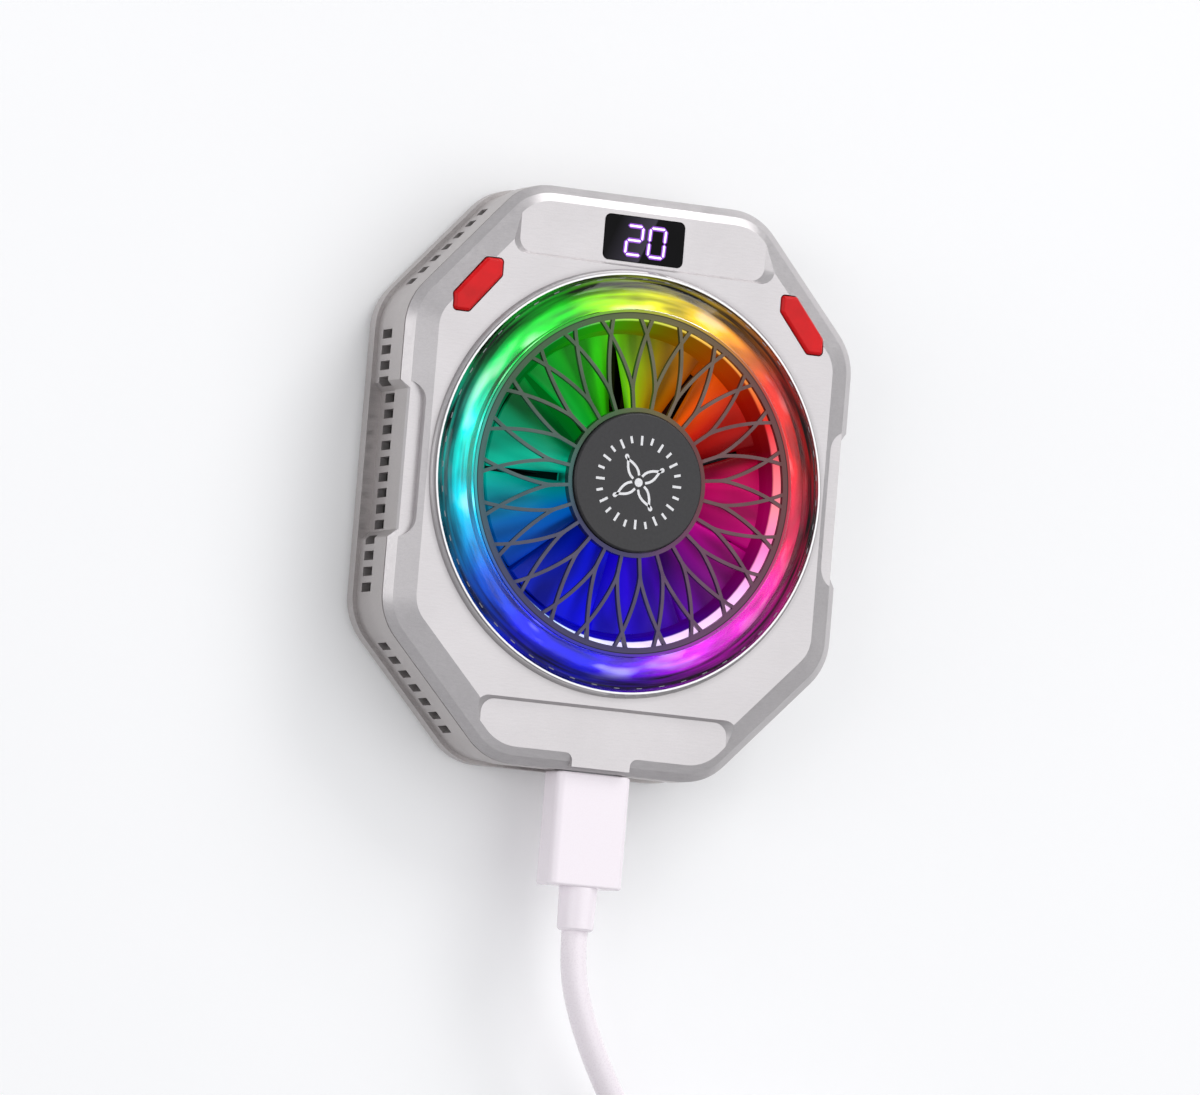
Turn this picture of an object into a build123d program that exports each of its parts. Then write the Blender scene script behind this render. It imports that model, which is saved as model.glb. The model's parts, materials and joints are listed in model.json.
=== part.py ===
from build123d import *
import math
import os

# Magnetic phone cooling fan with a USB-C lead, lying on its back: the contact
# pad rests on Z = 0, the fan axis is +Z through the origin, the display end
# is +Y and the USB-C port end is -Y. Millimetres throughout.

# Housing outline, an upright octagon with rounded corners
body_width = 62.0
body_height = 73.0
top_flat = 32.4
bottom_flat = 30.4
side_flat = 40.0
corner_radius = 8.0

# Heights of the housing's parts
pad_thickness = 1.0
back_plate_thickness = 1.4
parting_height = 12.75
bevel_rise = 0.9
bevel_width = 1.05
slope_rise = 1.35
slope_width = 2.6

# Walls and fits
cover_wall = 1.45
roof_thickness = 2.0
shell_wall = 1.6
ledge_width = 1.0
ledge_thickness = 0.8
lip_wall = 0.75
lip_depth = 1.2
seam_clearance = 0.15
seam_groove = 0.25
seat_clearance = 0.1
running_gap = 0.3
overrun = 1.0

# Pockets in the face at the display end and at the port end
pocket_half_width = 18.1
pocket_depth = 0.8
pocket_end_draft = 1.1
pocket_ring_draft = 0.35
pocket_corner = 1.8
top_pocket_edge = 27.3
bottom_pocket_edge = 28.3
tongue_half_width = 4.0
tongue_flare = 1.0
tongue_setback = 0.4

# Recesses in the two long sides
recess_half_length = 9.9
recess_depth = 1.05
recess_shelf_width = 1.85
recess_shelf_corner = 2.6
recess_inner_wall = 1.5

# Vent band in the side wall
band_low = 3.2
band_high = 8.75
band_sink = 0.5
slot_low = 4.7
slot_high = 8.4
slot_width = 1.15
side_slot_pitch = 2.0
side_slot_count = 17
corner_slot_pitch = 2.2
corner_slot_count = 7
foot_chamfer = 0.4

# Screw posts and screws
post_x = 26.3
post_y = 13.5
post_radius = 1.8
screw_radius = 0.6
screw_head_radius = 1.4
screw_head_height = 0.8
screw_length = 7.0
screw_recess_radius = 0.55
screw_recess_depth = 0.4
screw_sides = 6

# Contact pad, magnets and cold plate
pad_outer_radius = 27.0
pad_inner_radius = 17.4
magnet_outer_radius = 26.6
magnet_inner_radius = 22.4
magnet_thickness = 1.2
magnet_count = 16
magnet_gap_angle = 1.5
yoke_thickness = 0.5
cold_face_setback = 0.1
cold_plate_radius = 16.8
cold_flange_radius = 20.2
cold_flange_thickness = 0.8

# Thermoelectric module and its two leads
module_size = 26.0
module_ceramic = 0.8
module_thickness = 3.0
module_inset = 1.0
module_leg_size = 1.4
module_leg_count = 7

# Heat sink
sink_base_thickness = 1.2
sink_base_radius = 27.0
fin_count = 48
fin_thickness = 0.5
fin_inner_radius = 10.0
fin_outer_radius = 27.2
fin_height = 2.6
fin_skirt_radius = 21.4
fin_skirt_drop = 2.9
clamp_radius = 19.3
clamp_screw_radius = 0.6
clamp_head_radius = 1.1
clamp_head_height = 0.7
clamp_count = 4
clamp_first_angle = 45.0

# Fan frame, motor and impeller
frame_thickness = 0.8
frame_inner_radius = 18.2
frame_outer_radius = 21.6
frame_hub_radius = 7.4
strut_width = 1.8
strut_count = 4
bearing_tube_radius = 2.3
bearing_tube_height = 4.2
bearing_radius = 1.6
bearing_length = 3.8
shaft_radius = 0.75
shaft_clearance = 0.03
stator_radius = 5.2
stator_height = 2.4
stator_slots = 6
stator_slot_width = 1.1
stator_core_radius = 3.1
winding_bulge = 0.35
winding_inset = 0.25
rotor_magnet_wall = 0.7
rotor_magnet_height = 2.6
hub_radius = 7.7
hub_wall = 0.8
hub_height = 5.4
hub_edge = 0.8
hub_boss_height = 0.4
blade_count = 9
blade_tip_radius = 18.9
blade_thickness = 0.7
blade_low = 0.4
blade_high = 4.9
blade_root_angle = 37.0
blade_tip_angle = 38.5
blade_sweep = 22.0
blade_root_sink = 0.3

# Air duct, light ring and light guide
duct_inner_radius = 19.5
duct_outer_radius = 21.1
duct_lip_radius = 20.6
duct_flare_height = 1.9
duct_flange_radius = 21.8
duct_flange_height = 0.9
ring_outer_radius = 26.15
ring_rim_height = 16.3
ring_inner_radius = 21.95
ring_crown = 0.35
ring_wall = 1.1
ring_flange_radius = 27.2
ring_flange_thickness = 0.5
ring_fit = 0.15
bead_width = 0.25
bead_fillet = 0.5
bead_drop = 0.35
guide_inner_radius = 21.9
guide_outer_radius = 24.7
guide_thickness = 2.9
guide_foot = 0.5

# Fan guard and hub cap
guard_collar_inner = 20.7
guard_collar_outer = 21.85
guard_collar_height = 17.15
guard_collar_thickness = 0.55
guard_hub_radius = 9.45
guard_hub_height = 18.1
guard_thickness = 0.55
guard_rib_width = 0.44
guard_rib_count = 24
guard_first_angle = 7.5
guard_rib_steps = 14
guard_stem_share = 0.2
guard_bend_share = 0.04
guard_turn_share = 1.68
guard_dome = 0.25
cap_radius = 8.8
cap_thickness = 1.0
cap_proud = 0.5
cap_edge = 0.2

# Main board and what it carries
board_thickness = 0.8
board_height = 10.0
board_inset = 3.2
board_hole_radius = 22.0
led_count = 16
led_size = 1.6
led_height = 0.7
led_ring_radius = 23.3
window_width = 11.0
window_length = 5.7
window_corner = 0.8
window_thickness = 0.5
window_proud = 0.1
window_y = 30.9
window_gap = 0.08
digit_block_margin = 0.5
chip_width = 5.0
chip_length = 5.0
chip_height = 0.9
chip_y = 30.6
chip_x = 11.5
inductor_size = 3.6
inductor_height = 1.0
capacitor_radius = 0.9
capacitor_length = 2.4
capacitor_pitch = 2.7

# Buttons on the two upper corners
button_inner_x = 19.4
button_outer_x = 25.6
button_low_y = 19.2
button_high_y = 26.2
button_end = 2.1
button_corner = 0.45
button_proud = 0.35
button_gap = 0.15
button_flange = 0.35
button_flange_thickness = 0.4
button_travel = 0.3
button_edge = 0.3
switch_size = 2.6
switch_height = 1.2
plunger_radius = 0.6
plunger_sink = 0.02

# USB-C port in the lower wall, and the plug in it
port_width = 8.94
port_height = 3.2
port_wall = 0.25
port_length = 7.3
port_setback = 0.3
port_tongue_width = 6.6
port_tongue_height = 0.7
port_tongue_length = 4.4
plug_width = 10.1
plug_height = 5.2
plug_length = 14.3
plug_corner = 1.0
plug_edge = 0.35
plug_gap = 0.15
shell_width = 8.25
shell_height = 2.4
shell_length = 6.6
shell_cavity_width = 7.2
shell_cavity_height = 1.3
relief_radius = 2.45
relief_end_radius = 2.3
relief_length = 5.5
relief_edge = 0.3

# Lead, about 1.2 m from plug to plug, its slack wound in a flat coil
cord_radius = 1.65
cord_bend_share = 0.45
coil_gap = 0.5
coil_turns_per_layer = 4
coil_outer_radius = 27.4
coil_x = 35.3
coil_y = -113.6
tie_thickness = 0.5
tie_width = 6.0
tie_fit = 0.1
far_plug_x = 0.4
far_plug_y = -112.0


# Heights that follow from the sizes above
plate_top = pad_thickness + back_plate_thickness
bevel_top = parting_height + bevel_rise
face_height = bevel_top + slope_rise
face_underside = face_height - roof_thickness
pocket_floor = face_height - pocket_depth
magnet_top = plate_top + magnet_thickness
flange_top = plate_top + cold_flange_thickness
module_top = flange_top + module_thickness
sink_top = module_top + sink_base_thickness
fin_top = sink_top + fin_height
frame_top = fin_top + frame_thickness
board_top = board_height + board_thickness
port_axis = board_height + board_thickness / 2
cord_diameter = 2 * cord_radius
coil_pitch = cord_diameter + coil_gap
coil_height = tie_thickness + tie_fit + cord_radius
coil_top_height = coil_height + coil_pitch
plug_front = body_height / 2 + plug_gap
relief_start = plug_front + plug_length
cord_start = relief_start + relief_length
far_plug_axis = plug_height / 2

# Points that the lead passes, chosen by hand: from the strain relief, down
# to the surface, and on to the coil
cord_points = [
    (0.0, -cord_start, port_axis),
    (0.0, -60.8, port_axis),
    (1.7, -66.2, 9.9),
    (4.9, -71.9, 8.6),
    (9.2, -77.7, 6.6),
    (14.0, -81.9, 4.7),
    (19.6, -85.0, 3.1),
    (25.8, -86.2, 2.25),
    (32.0, -86.2, 2.25),
]

# Points of the lead's tail, from the coil to the far plug
tail_points = [
    (32.0, -141.0, 6.05),
    (23.5, -141.0, 6.05),
    (14.6, -139.2, 5.2),
    (6.8, -133.9, 3.9),
    (2.2, -126.6, 2.8),
    (0.4, -119.2, 2.6),
    (0.4, -112.0, 2.6),
]


def plane_at(z):
    """Give the horizontal plane at height z."""
    return Plane.XY.offset(z)


def disc(radius, low, high, x=0, y=0):
    """Make a round solid between two heights."""
    return extrude(Plane.XY.offset(low) * Pos(x, y) * Circle(radius), high - low)


def ring(outer, inner, low, high):
    """Make a plain ring between two heights."""
    return disc(outer, low, high) - disc(inner, low - overrun, high + overrun)


def block(width, length, low, high, x=0, y=0):
    """Make an upright block, centred on x and y."""
    return extrude(Plane.XY.offset(low) * Pos(x, y) * Rectangle(width, length), high - low)


def polar(radius, angle):
    """Give the x and y of a point from its radius and its angle in degrees."""
    return radius * math.cos(math.radians(angle)), radius * math.sin(math.radians(angle))


def octagon_points(inset):
    """Give the corners of the housing's octagon, moved in by an inset."""
    side, end = body_width / 2, body_height / 2
    corners = [
        (side, -side_flat / 2), (side, side_flat / 2),
        (top_flat / 2, end), (-top_flat / 2, end),
        (-side, side_flat / 2), (-side, -side_flat / 2),
        (-bottom_flat / 2, -end), (bottom_flat / 2, -end),
    ]
    lines = []
    for index, (x0, y0) in enumerate(corners):
        x1, y1 = corners[(index + 1) % len(corners)]
        length = math.hypot(x1 - x0, y1 - y0)
        normal_x, normal_y = (y1 - y0) / length, (x0 - x1) / length
        lines.append((normal_x, normal_y, x0 * normal_x + y0 * normal_y - inset))
    points = []
    for index, (a0, b0, c0) in enumerate(lines):
        a1, b1, c1 = lines[(index + 1) % len(lines)]
        scale = a0 * b1 - a1 * b0
        points.append(((c0 * b1 - c1 * b0) / scale, (a0 * c1 - a1 * c0) / scale))
    return points


def octagon(inset, z):
    """Make the housing's rounded octagon at a height, moved in by an inset."""
    flat = Polygon(*octagon_points(inset), align=None)
    rounded = fillet(flat.vertices(), corner_radius - inset)
    return Pos(0, 0, z) * rounded


def octagon_prism(inset, low, high):
    """Make an upright prism on the housing's octagon."""
    return extrude(octagon(inset, low), high - low)


def post_places():
    """List the four screw posts."""
    return [(x, y) for x in (-post_x, post_x) for y in (-post_y, post_y)]


def mirrored(shape):
    """Give a shape with its mirror image across the YZ plane."""
    return shape + mirror(shape, Plane.YZ)


def side_recess(low, high, depth):
    """Make the cutter of both side recesses between two heights."""
    side = body_width / 2
    reach = depth + overrun
    cutter = Polygon(
        (side - depth, -recess_half_length + recess_depth),
        (side - depth + reach, -recess_half_length + recess_depth - reach),
        (side - depth + reach, recess_half_length - recess_depth + reach),
        (side - depth, recess_half_length - recess_depth),
        align=None,
    )
    return mirrored(extrude(Plane.XY.offset(low) * cutter, high - low))


def recess_shelf():
    """Make the cutter of the shelves that the recesses leave in the bezel."""
    inner = body_width / 2 - recess_depth - recess_shelf_width
    outer = body_width / 2 + overrun
    middle = (inner + outer) / 2
    flat = Pos(middle, 0) * Rectangle(outer - inner, 2 * recess_half_length)
    corners = flat.vertices().sort_by(Axis.X)[:2]
    flat = fillet(corners, recess_shelf_corner)
    return mirrored(extrude(Plane.XY.offset(bevel_top) * flat, slope_rise + overrun))


def pocket(edge, direction):
    """Make the cutter of a face pocket whose inner edge is at y = edge."""
    far = body_height / 2 + overrun
    floor_far = far + pocket_end_draft
    reach = pocket_depth + overrun
    grow = reach / pocket_depth
    low_half = pocket_half_width - pocket_end_draft
    high_half = low_half + pocket_end_draft * grow
    low_edge = edge + pocket_ring_draft
    high_edge = low_edge - pocket_ring_draft * grow
    faces = []
    for half, near, z in ((low_half, low_edge, pocket_floor), (high_half, high_edge, pocket_floor + reach)):
        flat = Pos(0, direction * (near + floor_far) / 2) * Rectangle(2 * half, floor_far - near)
        inner = flat.vertices().sort_by(Axis.Y)
        inner = inner[:2] if direction > 0 else inner[2:]
        flat = fillet(inner, pocket_corner)
        faces.append((Pos(0, 0, z) * flat).face())
    return loft(faces, ruled=True)


def tongue():
    """Make the pocket floor's tongue over the USB-C port, flared at its root."""
    end = body_height / 2 - tongue_setback
    root = body_height / 2 - bevel_width - slope_width
    rise_share = (pocket_floor - bevel_top) / slope_rise
    shore = body_height / 2 - bevel_width - slope_width * rise_share
    flat = Pos(0, -(end + root) / 2) * Rectangle(2 * tongue_half_width, end - root)
    flare_half = tongue_half_width + tongue_flare
    flare_end = shore + tongue_flare
    flat += Pos(0, -(root + flare_end) / 2) * Rectangle(2 * flare_half, flare_end - root)
    for side in (-1, 1):
        flat -= Pos(side * flare_half, -flare_end) * Circle(tongue_flare)
    return extrude(plane_at(parting_height) * flat, pocket_floor - parting_height)


def button_outline(grow):
    """Make the right-hand button's elongated hexagon with soft corners, grown by a margin."""
    inner, outer = button_inner_x, button_outer_x
    low, high = button_low_y, button_high_y
    points = [
        (inner, high), (inner, high - button_end), (outer - button_end, low),
        (outer, low), (outer, low + button_end), (inner + button_end, high),
    ]
    flat = Polygon(*points, align=None)
    if grow:
        flat = offset(flat, grow, kind=Kind.INTERSECTION)
    return fillet(flat.vertices(), button_corner + grow)


def front_cover():
    """Make the front cover with its bezel, pockets, recesses and posts."""
    rim = octagon(0, parting_height).face()
    shoulder = octagon(bevel_width, bevel_top).face()
    brow = octagon(bevel_width + slope_width, face_height).face()
    cover = loft([rim, shoulder], ruled=True) + loft([shoulder, brow], ruled=True)
    cover -= recess_shelf()
    cover -= pocket(top_pocket_edge, 1)
    cover -= pocket(bottom_pocket_edge, -1)
    cover += tongue()
    inner = bevel_width + cover_wall
    cover -= octagon_prism(inner, parting_height - overrun, face_underside)
    lip = octagon_prism(inner - lip_wall, parting_height - lip_depth, parting_height)
    lip -= octagon_prism(inner, parting_height - lip_depth - overrun, parting_height + overrun)
    bump = recess_half_length + recess_inner_wall + seam_clearance
    for side in (-1, 1):
        lip -= block(2 * bevel_width + 2 * cover_wall, 2 * bump, parting_height - lip_depth - overrun,
                     parting_height, side * body_width / 2, 0)
    port_room = port_width / 2 + seam_clearance + shell_wall
    lip -= block(2 * port_room, 2 * shell_wall + 2 * bevel_width, parting_height - lip_depth - overrun,
                 parting_height, 0, -body_height / 2)
    cover += lip
    cover -= side_recess(parting_height - lip_depth - overrun, bevel_top + overrun, recess_depth)
    bead_radius = ring_outer_radius + ring_fit + bead_width
    bead_top = ring_rim_height - bead_drop
    profile = Polyline(
        (ring_outer_radius, face_height - cover_wall / 2),
        (ring_outer_radius, bead_top),
        (bead_radius, bead_top),
        (bead_radius, face_height + bead_fillet),
    )
    profile += RadiusArc((bead_radius, face_height + bead_fillet), (bead_radius + bead_fillet, face_height),
                         bead_fillet)
    profile += Polyline(
        (bead_radius + bead_fillet, face_height),
        (bead_radius + bead_fillet, face_height - cover_wall / 2),
        (ring_outer_radius, face_height - cover_wall / 2),
    )
    bead = revolve(Plane.XZ * make_face(profile), Axis.Z)
    bead -= pocket_room(top_pocket_edge, 1)
    bead -= pocket_room(bottom_pocket_edge, -1)
    cover += bead
    cover -= disc(ring_outer_radius + ring_fit, parting_height - overrun, ring_rim_height + overrun)
    for x, y in post_places():
        cover += disc(post_radius, plate_top, face_underside, x, y)
        cover -= disc(screw_radius, plate_top - overrun, plate_top + screw_length, x, y)
    hole = extrude(plane_at(parting_height) * button_outline(button_gap), face_height)
    cover -= mirrored(hole)
    opening = RectangleRounded(window_width + 2 * window_gap, window_length + 2 * window_gap, window_corner)
    cover -= extrude(plane_at(parting_height) * Pos(0, window_y) * opening, face_height)
    return cover


def pocket_room(edge, direction):
    """Make a block over a pocket's floor that clears what would stand in it."""
    half = pocket_half_width - pocket_end_draft
    near = edge + pocket_ring_draft
    far = body_height / 2
    middle = direction * (near + far) / 2
    return block(2 * half, far - near, pocket_floor, ring_rim_height + overrun, 0, middle)


def vent_slots():
    """Make the cutters of the vent slots along the sides and the corners."""
    depth = 2 * (shell_wall + recess_depth) + overrun
    height = slot_high - slot_low
    middle = (slot_high + slot_low) / 2
    corners = octagon_points(0)
    slots = []
    for start, end, count, pitch in (
        (0, 1, side_slot_count, side_slot_pitch),
        (-1, 0, corner_slot_count, corner_slot_pitch),
        (1, 2, corner_slot_count, corner_slot_pitch),
    ):
        x0, y0 = corners[start - 1]
        x1, y1 = corners[end - 1]
        angle = math.degrees(math.atan2(y1 - y0, x1 - x0))
        for index in range(count):
            along = (index - (count - 1) / 2) * pitch
            place = Pos((x0 + x1) / 2, (y0 + y1) / 2, middle) * Rot(0, 0, angle) * Pos(along, 0, 0)
            slots.append(place * Box(slot_width, depth, height))
    return slots


def side_shell():
    """Make the side wall with its vent band, ledge and port opening."""
    side, end = body_width / 2, body_height / 2
    shell = octagon_prism(0, pad_thickness, parting_height)
    shell = chamfer(shell.faces().sort_by(Axis.Z)[0].edges(), foot_chamfer)
    shell -= octagon_prism(-overrun, band_low, band_high) - octagon_prism(band_sink, band_low, band_high)
    cavity = octagon_prism(shell_wall, plate_top + ledge_thickness, parting_height + overrun)
    bump = recess_half_length + recess_inner_wall
    thick = recess_depth + recess_inner_wall
    for direction in (-1, 1):
        cavity -= block(2 * thick, 2 * bump, plate_top, parting_height + overrun, direction * side, 0)
    shell -= cavity
    shell -= octagon_prism(shell_wall + ledge_width, plate_top - overrun, parting_height)
    shell += shell_bumps(side, bump, thick)
    shell -= octagon_prism(shell_wall, pad_thickness - overrun, plate_top)
    groove_low = parting_height - seam_groove
    groove = octagon_prism(-overrun, groove_low, parting_height)
    shell -= groove - octagon_prism(seam_groove, groove_low, parting_height)
    shell -= side_recess(band_low, parting_height + overrun, recess_depth)
    shell -= side_recess(band_low, band_high, recess_depth + band_sink)
    hole_width = port_width + 2 * seam_clearance
    hole_height = port_height + 2 * seam_clearance
    port = Plane.XZ.offset(end - 2 * shell_wall) * Pos(0, port_axis)
    hole = RectangleRounded(hole_width, hole_height, hole_height / 2 - seam_clearance / 2)
    shell -= extrude(port * hole, 2 * shell_wall + overrun)
    slots = vent_slots()
    shell -= slots
    shell -= [mirror(slot, Plane.YZ) for slot in slots]
    return shell


def shell_bumps(side, half_length, thick):
    """Make the thicker wall behind the side recesses."""
    inside = octagon_prism(seam_clearance, plate_top, parting_height)
    bumps = block(2 * thick, 2 * half_length, plate_top, parting_height, side, 0)
    bumps += block(2 * thick, 2 * half_length, plate_top, parting_height, -side, 0)
    sunk = octagon_prism(-overrun, band_low, band_high) - octagon_prism(band_sink, band_low, band_high)
    return (bumps & inside) - sunk


def back_plate():
    """Make the back plate with its screw wells and the cold plate's opening."""
    plate = octagon_prism(shell_wall + seam_clearance, pad_thickness, plate_top)
    plate -= disc(cold_plate_radius + seam_clearance, pad_thickness - overrun, plate_top + overrun)
    for x, y in post_places():
        plate -= disc(screw_radius + seat_clearance, pad_thickness - overrun, plate_top + overrun, x, y)
        plate -= disc(screw_head_radius + seat_clearance, pad_thickness - overrun,
                      pad_thickness + screw_head_height, x, y)
    return plate


def case_screws():
    """Make the four screws that hold the back plate to the cover's posts."""
    screws = []
    for x, y in post_places():
        screw = disc(screw_head_radius, pad_thickness, pad_thickness + screw_head_height, x, y)
        screw += disc(screw_radius, pad_thickness + screw_head_height,
                      pad_thickness + screw_head_height + screw_length - overrun, x, y)
        drive = RegularPolygon(screw_recess_radius, screw_sides)
        screw -= extrude(plane_at(pad_thickness) * Pos(x, y) * drive, screw_recess_depth)
        screws.append(screw)
    return Compound(children=screws)


def contact_pad():
    """Make the soft ring that rests on the phone."""
    return ring(pad_outer_radius, pad_inner_radius, 0, pad_thickness)


def magnets():
    """Make the ring of separate magnets on the back plate."""
    step = 360 / magnet_count
    whole = ring(magnet_outer_radius, magnet_inner_radius, plate_top, magnet_top)
    pieces = []
    for index in range(magnet_count):
        start = index * step + magnet_gap_angle / 2
        far = 2 * magnet_outer_radius
        wedge = Polygon((0, 0), polar(far, start), polar(far, start + step - magnet_gap_angle), align=None)
        pieces.append(whole & extrude(plane_at(plate_top) * wedge, magnet_thickness))
    return Compound(children=pieces)


def magnet_yoke():
    """Make the thin steel ring over the magnets."""
    return ring(magnet_outer_radius, magnet_inner_radius, magnet_top, magnet_top + yoke_thickness)


def clamp_places():
    """List the screws that clamp the heat sink to the cold plate."""
    step = 360 / clamp_count
    return [polar(clamp_radius, clamp_first_angle + index * step) for index in range(clamp_count)]


def cold_plate():
    """Make the flanged aluminium plate that touches the phone."""
    plate = disc(cold_plate_radius, cold_face_setback, plate_top)
    plate += disc(cold_flange_radius, plate_top, flange_top)
    for x, y in clamp_places():
        plate -= disc(clamp_screw_radius, plate_top, flange_top + overrun, x, y)
    return plate


def module_ceramics():
    """Make the two ceramic plates of the thermoelectric module."""
    low = block(module_size, module_size, flange_top, flange_top + module_ceramic)
    high = block(module_size, module_size, module_top - module_ceramic, module_top)
    return Compound(children=[low, high])


def module_legs():
    """Make the semiconductor legs between the ceramic plates."""
    span = module_size - 2 * module_inset - module_leg_size
    pitch = span / (module_leg_count - 1)
    legs = []
    for column in range(module_leg_count):
        for row in range(module_leg_count):
            x = -span / 2 + column * pitch
            y = -span / 2 + row * pitch
            legs.append(block(module_leg_size, module_leg_size, flange_top + module_ceramic,
                              module_top - module_ceramic, x, y))
    return Compound(children=legs)


def heat_sink():
    """Make the heat sink: a round base with radial fins and a skirt of fins."""
    sink = disc(sink_base_radius, module_top, sink_top)
    fin_length = fin_outer_radius - fin_inner_radius
    skirt_length = fin_outer_radius - fin_skirt_radius
    fins = []
    for index in range(fin_count):
        turn = Rot(0, 0, (index + 0.5) * 360 / fin_count)
        upper = Pos((fin_outer_radius + fin_inner_radius) / 2, 0, (module_top + fin_top) / 2)
        fins.append(turn * upper * Box(fin_length, fin_thickness, fin_top - module_top))
        low = module_top - fin_skirt_drop + module_ceramic
        skirt = Pos((fin_outer_radius + fin_skirt_radius) / 2, 0, (low + fin_top) / 2)
        fins.append(turn * skirt * Box(skirt_length, fin_thickness, fin_top - low))
    sink += fins
    for x, y in clamp_places():
        sink -= disc(clamp_head_radius + seam_clearance, sink_top, fin_top + overrun, x, y)
        sink -= disc(clamp_screw_radius + seam_clearance, module_top - overrun, sink_top + overrun, x, y)
    return sink


def clamp_screws():
    """Make the screws that clamp the heat sink, module and cold plate."""
    screws = []
    for x, y in clamp_places():
        screw = disc(clamp_screw_radius, plate_top, sink_top, x, y)
        screw += disc(clamp_head_radius, sink_top, sink_top + clamp_head_height, x, y)
        screws.append(screw)
    return Compound(children=screws)


def fan_frame():
    """Make the frame that carries the motor over the heat sink."""
    frame = ring(frame_outer_radius, frame_inner_radius, fin_top, frame_top)
    frame += disc(frame_hub_radius, fin_top, frame_top)
    length = frame_inner_radius - frame_hub_radius + 2 * strut_width
    for index in range(strut_count):
        place = Rot(0, 0, (index + 0.5) * 360 / strut_count)
        middle = Pos((frame_inner_radius + frame_hub_radius) / 2, 0, (fin_top + frame_top) / 2)
        frame += place * middle * Box(length, strut_width, frame_thickness)
    frame += disc(bearing_tube_radius, frame_top, frame_top + bearing_tube_height)
    frame -= disc(bearing_radius, frame_top, frame_top + bearing_tube_height + overrun)
    return frame


def bearing():
    """Make the sleeve bearing in the frame's tube."""
    return disc(bearing_radius, frame_top, frame_top + bearing_length) - disc(
        shaft_radius + shaft_clearance, frame_top - overrun, frame_top + bearing_length + overrun)


def stator():
    """Make the slotted stator core round the bearing tube."""
    low = frame_top + winding_bulge + running_gap
    core = disc(stator_radius, low, low + stator_height)
    length = stator_radius - stator_core_radius + overrun
    for index in range(stator_slots):
        place = Rot(0, 0, index * 360 / stator_slots)
        middle = Pos(stator_core_radius + length / 2, 0, low + stator_height / 2)
        core -= place * middle * Box(length, stator_slot_width, stator_height + overrun)
    return core - disc(bearing_tube_radius, low - overrun, low + stator_height + overrun)


def windings():
    """Make the six copper windings round the stator's teeth."""
    low = frame_top + running_gap
    high = low + stator_height + 2 * winding_bulge
    pieces = []
    pitch = 360 / stator_slots
    inner = stator_core_radius + winding_inset
    outer = stator_radius - winding_inset
    tooth = stator_slot_width
    for index in range(stator_slots):
        place = Rot(0, 0, (index + 0.5) * pitch)
        for z in (low, high - winding_bulge):
            middle = Pos((inner + outer) / 2, 0, z + winding_bulge / 2)
            pieces.append(place * middle * Box(outer - inner, tooth, winding_bulge))
    return Compound(children=pieces)


def rotor_heights():
    """Give the lowest and highest height of the impeller's hub."""
    low = frame_top + running_gap
    return low, low + hub_height


def impeller_blade(low):
    """Make one pitched, swept blade of the impeller."""
    sections = []
    rise = blade_high - blade_low
    shares = (0, 0.5, 1)
    for share in shares:
        radius = hub_radius - blade_root_sink + share * (blade_tip_radius + overrun - hub_radius)
        spread = blade_root_angle + share * (blade_tip_angle - blade_root_angle)
        chord = 2 * radius * math.tan(math.radians(spread / 2))
        turn = -blade_sweep * share
        tilt = math.degrees(math.atan2(rise, chord))
        length = math.hypot(rise, chord) - blade_thickness
        middle = low + (blade_low + blade_high) / 2
        place = Rot(0, 0, turn) * Plane(origin=(radius, 0, middle), x_dir=(0, 1, 0), z_dir=(1, 0, 0))
        sections.append((place * Rot(0, 0, tilt) * SlotOverall(length, blade_thickness)).face())
    return loft(sections)


def impeller():
    """Make the impeller: a cup-shaped hub with nine wide blades."""
    low, high = rotor_heights()
    hub = disc(hub_radius, low, high)
    hub = fillet(hub.faces().sort_by(Axis.Z)[-1].edges(), hub_edge)
    reach = disc(blade_tip_radius, low, high)
    blade = impeller_blade(low) & reach
    for index in range(blade_count):
        hub += Rot(0, 0, index * 360 / blade_count) * blade
    hub -= disc(hub_radius - hub_wall, low - overrun, high - hub_wall)
    hub += disc(bearing_radius, high - hub_wall - hub_boss_height, high - hub_wall / 2)
    hub -= disc(shaft_radius, low, high - hub_wall)
    return hub


def rotor_magnet():
    """Make the ring magnet inside the impeller's hub."""
    low, high = rotor_heights()
    outer = hub_radius - hub_wall
    start = low + hub_wall
    return ring(outer, outer - rotor_magnet_wall, start, start + rotor_magnet_height)


def fan_shaft():
    """Make the shaft that turns in the bearing."""
    low, high = rotor_heights()
    return disc(shaft_radius, frame_top + seat_clearance, high - hub_wall)


def fan_duct():
    """Make the white duct round the impeller, flared at its mouth."""
    top = guard_collar_height - guard_collar_thickness
    duct = disc(duct_outer_radius, frame_top, top)
    duct += disc(duct_flange_radius - seat_clearance, frame_top, frame_top + duct_flange_height)
    duct -= disc(duct_inner_radius, frame_top - overrun, top + overrun)
    flare_low = top - duct_flare_height
    flare = Cone(duct_inner_radius, duct_lip_radius, duct_flare_height)
    return duct - Pos(0, 0, flare_low + duct_flare_height / 2) * flare


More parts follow.
